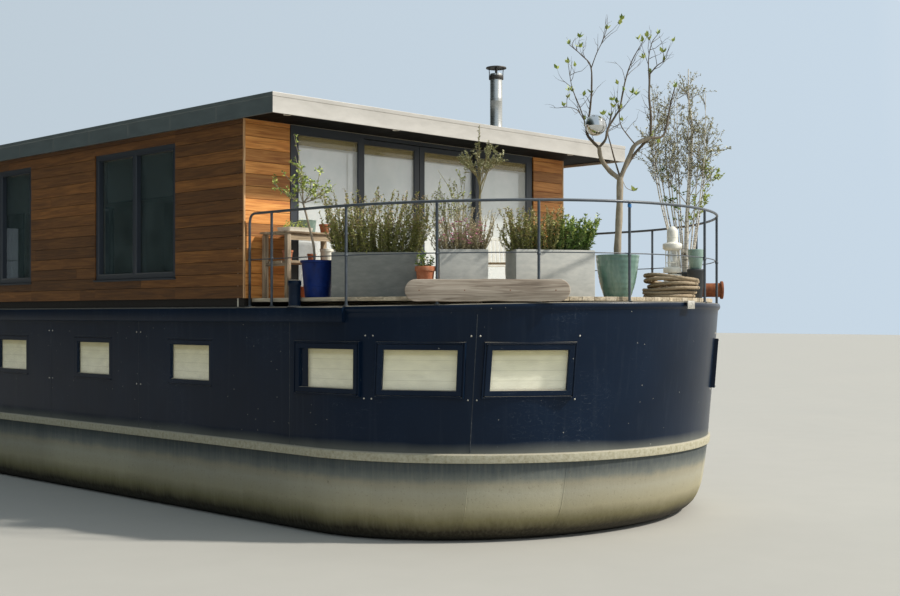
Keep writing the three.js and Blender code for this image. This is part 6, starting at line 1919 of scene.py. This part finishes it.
class HOUSEBOAT_OT_deck_gear(bpy.types.Operator):
    """Lantern with its cage, rusted roller, bright wear plate over the stem"""

    bl_idname = "houseboat.deck_gear"
    bl_label = "Deck gear"

    def execute(self, context):
        self.lantern(round_bow(124.5, 2.55, ON_DECK))
        drum = Form(38)
        place = facing(*round_bow(130, 3.06, BOARD_TOP + 0.125), 130) @ Matrix.Rotation(math.pi / 2, 4, "X")
        rim = [(0.0955, 0.07), (0.097, 0.142), (0.102, 0.148), (0.118, 0.151), (0.122, 0.156), (0.122, 0.181),
               (0.116, 0.185)]
        profile = [(0, -0.185), *((r, -z) for r, z in reversed(rim)), (0.0945, 0.0), *rim]
        drum.turned([*profile, (0.03, 0.185), (0.028, 0.18), (0, 0.18)], sides=48, place=place)
        drum.piece("rusted_roller", "rust", replaces=["roller_drum"], slot="rusty_steel", sharp=35)
        plate, half = Form(39), 0.083
        place = facing(*round_bow(94, 3.185, DECK_Z + SHEER + 0.001), 94)
        section = [(0.012, 0.0), (0.012, 0.01), (0.01, 0.012), (-0.03, 0.012), (-0.036, 0.0105), (-0.0405, 0.006),
                   (-0.042, 0.0), (-0.042, -0.086), (-0.0405, -0.088), (-0.0315, -0.088), (-0.03, -0.086),
                   (-0.03, -0.012), (-0.028, 0.0)]
        across = (-half, 0.002 - half, half - 0.002, half)
        plate.rings([[place @ Vector((x, y, z)) for y, z in section] for x in across])
        for x in (-0.055, 0.055):
            plate.turned([(0.009, 0), (0.009, 0.0003), (0.007, 0.0004), (0, 0.0004)], sides=14, slot=1,
                         place=place @ Matrix.Translation((x, -0.008, 0.0115)))
        plate.piece("stem_wear_plate", "bright", "rust", replaces=["stem_fairlead"], slot="bright_steel", sharp=40)
        return {"FINISHED"}

    def lantern(self, at):
        """A foot on the deck, a glass in a cage of bars, and a vented cap."""
        lamp = Form(37)
        base = [(0, 0), (0.12, 0), (0.128, 0.008), (0.128, 0.03), (0.118, 0.04), (0.116, 0.288), (0.126, 0.3),
                (0.128, 0.322), (0.122, 0.33), (0.06, 0.34), (0.06, 0.35), (0.118, 0.354), (0.122, 0.36),
                (0.122, 0.412), (0.117, 0.42), (0.09, 0.432), (0.066, 0.438), (0, 0.438)]
        head = [(0, 0.655), (0.09, 0.655), (0.1, 0.66), (0.126, 0.676), (0.13, 0.684), (0.13, 0.738), (0.126, 0.746),
                (0.1, 0.756), (0.076, 0.765), (0.072, 0.776), (0.072, 0.83), (0.0745, 0.832), (0.0745, 0.842),
                (0.072, 0.844), (0.072, 0.92), (0.066, 0.936), (0.05, 0.957), (0.034, 0.973), (0.015, 0.983),
                (0, 0.985)]
        for profile in (base, head):
            lamp.turned(profile, at, 40)
        for k in range(6):
            bar = ((0.086, 0.425), (0.089, 0.5), (0.089, 0.6), (0.086, 0.665))
            lamp.tube([at + around(2 * math.pi * k / 6 + 0.2, r, z) for r, z in bar], 0.006, 8)
        for z in (0.49, 0.59):
            lamp.tube([at + around(k * math.pi / 18, 0.0895, z) for k in range(37)], 0.004, 6)
        lamp.turned([(0.062, 0.438), (0.066, 0.47), (0.066, 0.62), (0.062, 0.655)], at, 32, slot=1)
        lamp.tube([at + up(z) for z in (0.438, 0.51, 0.52)], [0.02, 0.02, 0.004], 12)
        lamp.piece("deck_lantern", "enamel", "glass", replaces=["lantern"], slot="white_paint", sharp=40)


class HOUSEBOAT_OT_bench(bpy.types.Operator):
    """Potting bench of weathered boards with pots and trays on it, and a folding chair"""

    bl_idname = "houseboat.bench"
    bl_label = "Potting bench"

    def execute(self, context):
        x0, x1, y0, y1, top = -2.99, -1.9, FRONT_Y - 0.6, FRONT_Y - 0.04, 3.7
        form = Form(47)
        for k in range(5):
            a = y0 + k * 0.112
            form.box((x0, a, top - 0.022), (x1, a + 0.107, top))
        for x in (x0 + 0.03, x1 - 0.09):
            form.box((x + 0.01, y0 + 0.02, top - 0.0385), (x + 0.05, y1 - 0.02, top - 0.0225))
            for y in (y0 + 0.02, y1 - 0.08):
                form.box((x, y, ON_DECK), (x + 0.06, y + 0.06, top - 0.0395))
            form.box((x + 0.015, y0 + 0.0805, 3.262), (x + 0.045, y1 - 0.0805, 3.2995))
        form.box((x0 + 0.0905, y0 + 0.03, top - 0.11), (x1 - 0.0905, y0 + 0.05, top - 0.0395))
        for k in range(4):
            # the outer boards of the shelf stop at the legs
            a, inset = y0 + 0.03 + k * 0.127, 0.04 if 0 < k < 3 else 0.091
            form.box((x0 + inset, a, 3.3), (x1 - inset, a + 0.12, 3.33))
        form.piece("bench_boards", "bench", replaces=["potting_bench"], slot="weathered_timber", bevel=0.0025)
        self.wares(y0, 3.3310, top + 0.0005)
        self.chair(Matrix.Translation((-0.72, BOW_Y - 0.86, ON_DECK)) @ Matrix.Rotation(math.radians(-38), 4, "Z"))
        return {"FINISHED"}

    def wares(self, y0, shelf, top):
        """Clay and white pots on the bench, its shelf and the deck, a tray of seedlings and a square box."""
        wares = Form(48)
        chance = wares.chance
        for x, y, z, r, h, slot in ((-2.86, 0.14, shelf, 0.07, 0.13, 0), (-2.2, 0.16, shelf, 0.09, 0.17, 1),
                                    (-2.42, 0.2, shelf, 0.06, 0.1, 0), (-2.25, 0.14, top, 0.075, 0.12, 0),
                                    (-2.05, 0.2, top, 0.05, 0.16, 1), (-2.8, 0.12, ON_DECK, 0.1, 0.17, 0),
                                    (-2.55, 0.16, ON_DECK, 0.085, 0.15, 0), (-2.3, 0.12, ON_DECK, 0.11, 0.2, 0)):
            rim = [(0, 0), (r * 0.68, 0), (r * 0.7, 0.004), (r * 0.9, h * 0.8), (r, h * 0.805), (r, h * 0.99),
                   (r * 0.97, h), (r * 0.87, h), (r * 0.84, h * 0.9), (0, h * 0.88)]
            wares.turned(rim, (x, y0 + y, z), 28, slot=slot)
        tray = Matrix.Translation((-2.66, y0 + 0.24, top))
        levels = ((0.012, 0), (0, 0.055), (-0.004, 0.06), (0.004, 0.0605), (0.01, 0.05), (0.02, 0.006))
        wares.rings([rounded(0.2 - i, 0.13 - i, 0.02, z, tray) for i, z in levels], slot=1)
        box = Matrix.Translation((-2.36, y0 + 0.36, top)) @ Matrix.Rotation(0.3, 4, "Z")
        levels = ((0, 0), (0.012, 0.17), (0.016, 0.175), (0.008, 0.18), (0.004, 0.17), (-0.002, 0.12))
        wares.rings([rounded(0.075 + i, 0.075 + i, 0.012, z, box) for i, z in levels], slot=3)
        for _ in range(26):
            low = Vector((-2.66 + chance.uniform(-0.15, 0.15), y0 + 0.24 + chance.uniform(-0.08, 0.08), 3.72))
            tip = low + Vector((chance.gauss(0, 0.03), chance.gauss(0, 0.03), chance.uniform(0.05, 0.16)))
            leaves_on(wares, stem(wares, low, tip, 0.002, 4), 9, (0.03, 0.014), (4, 4))
        wares.piece("bench_wares", "terracotta", "enamel", "plastic", "teal", "spring", sharp=40, even=False)

    def chair(self, place):
        """A small garden chair: a timber seat of slats, and a white back that leans."""
        chair, back = Form(49), place @ Matrix.Rotation(math.radians(-14), 4, "X")
        for x in (-0.2, 0.17):
            for y0, z0, y1, z1 in ((0.155, 0.0, 0.18, 0.42), (-0.2, 0.0, -0.17, 0.42), (-0.2, 0.42, 0.19, 0.445)):
                chair.box((x, y0, z0), (x + 0.03, y1, z1), place=place)
            chair.box((x, 0.2, 0.36), (x + 0.03, 0.222, 0.88), slot=1, place=back)
        for k in range(7):
            chair.box((-0.2, -0.215 + k * 0.057, 0.4455), (0.2, -0.175 + k * 0.057, 0.46), place=place)
        for k in range(6):
            chair.box((-0.158 + k * 0.054, 0.199, 0.52), (-0.122 + k * 0.054, 0.212, 0.85), 0.5, 1, back)
        for z in (0.49, 0.85):
            chair.box((-0.1695, 0.198, z), (0.1695, 0.216, z + 0.035), 0.5, 1, back)
        chair.piece("folding_chair", "bench", "enamel", bevel=0.002)


class HOUSEBOAT_PT_panel(bpy.types.Panel):
    bl_label = "Houseboat"
    bl_idname = "HOUSEBOAT_PT_panel"
    bl_space_type = "VIEW_3D"
    bl_region_type = "UI"
    bl_category = "Houseboat"

    def draw(self, context):
        for group in SETTINGS:
            settings = getattr(context.scene, "houseboat_" + group)
            for name in settings.__annotations__:
                self.layout.prop(settings, name)
        for operator in OPERATORS:
            self.layout.operator(operator.bl_idname)


SETTINGS = {"hull": HullSettings, "cabin": CabinSettings, "deck": DeckSettings, "plants": PlantSettings}
# In the order in which main calls them
OPERATORS = (
    HOUSEBOAT_OT_stage, HOUSEBOAT_OT_rope, HOUSEBOAT_OT_plating, HOUSEBOAT_OT_seams, HOUSEBOAT_OT_hull_windows,
    HOUSEBOAT_OT_decks, HOUSEBOAT_OT_cladding, HOUSEBOAT_OT_cabin_windows, HOUSEBOAT_OT_front_doors,
    HOUSEBOAT_OT_rear_door, HOUSEBOAT_OT_roof, HOUSEBOAT_OT_flue, HOUSEBOAT_OT_rails, HOUSEBOAT_OT_name_board,
    HOUSEBOAT_OT_troughs, HOUSEBOAT_OT_shrubs, HOUSEBOAT_OT_tub, HOUSEBOAT_OT_pots, HOUSEBOAT_OT_bare_tree,
    HOUSEBOAT_OT_birch, HOUSEBOAT_OT_deck_gear, HOUSEBOAT_OT_bench,
)
CLASSES = (*SETTINGS.values(), *OPERATORS, HOUSEBOAT_PT_panel)


def register():
    for cls in CLASSES:
        bpy.utils.register_class(cls)
    for group, settings in SETTINGS.items():
        setattr(bpy.types.Scene, "houseboat_" + group, bpy.props.PointerProperty(type=settings))


def unregister():
    for group in SETTINGS:
        delattr(bpy.types.Scene, "houseboat_" + group)
    for cls in reversed(CLASSES):
        bpy.utils.unregister_class(cls)


def main():
    register()
    for operator in OPERATORS:
        getattr(bpy.ops.houseboat, operator.bl_idname.split(".")[1])()
    sizes = {"cad": [list(corner) for corner in CAD_BOX], "visual": [list(corner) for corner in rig.bounds()]}
    with open("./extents.json", "w") as out:
        json.dump(sizes, out)


if __name__ == "__main__":
    main()
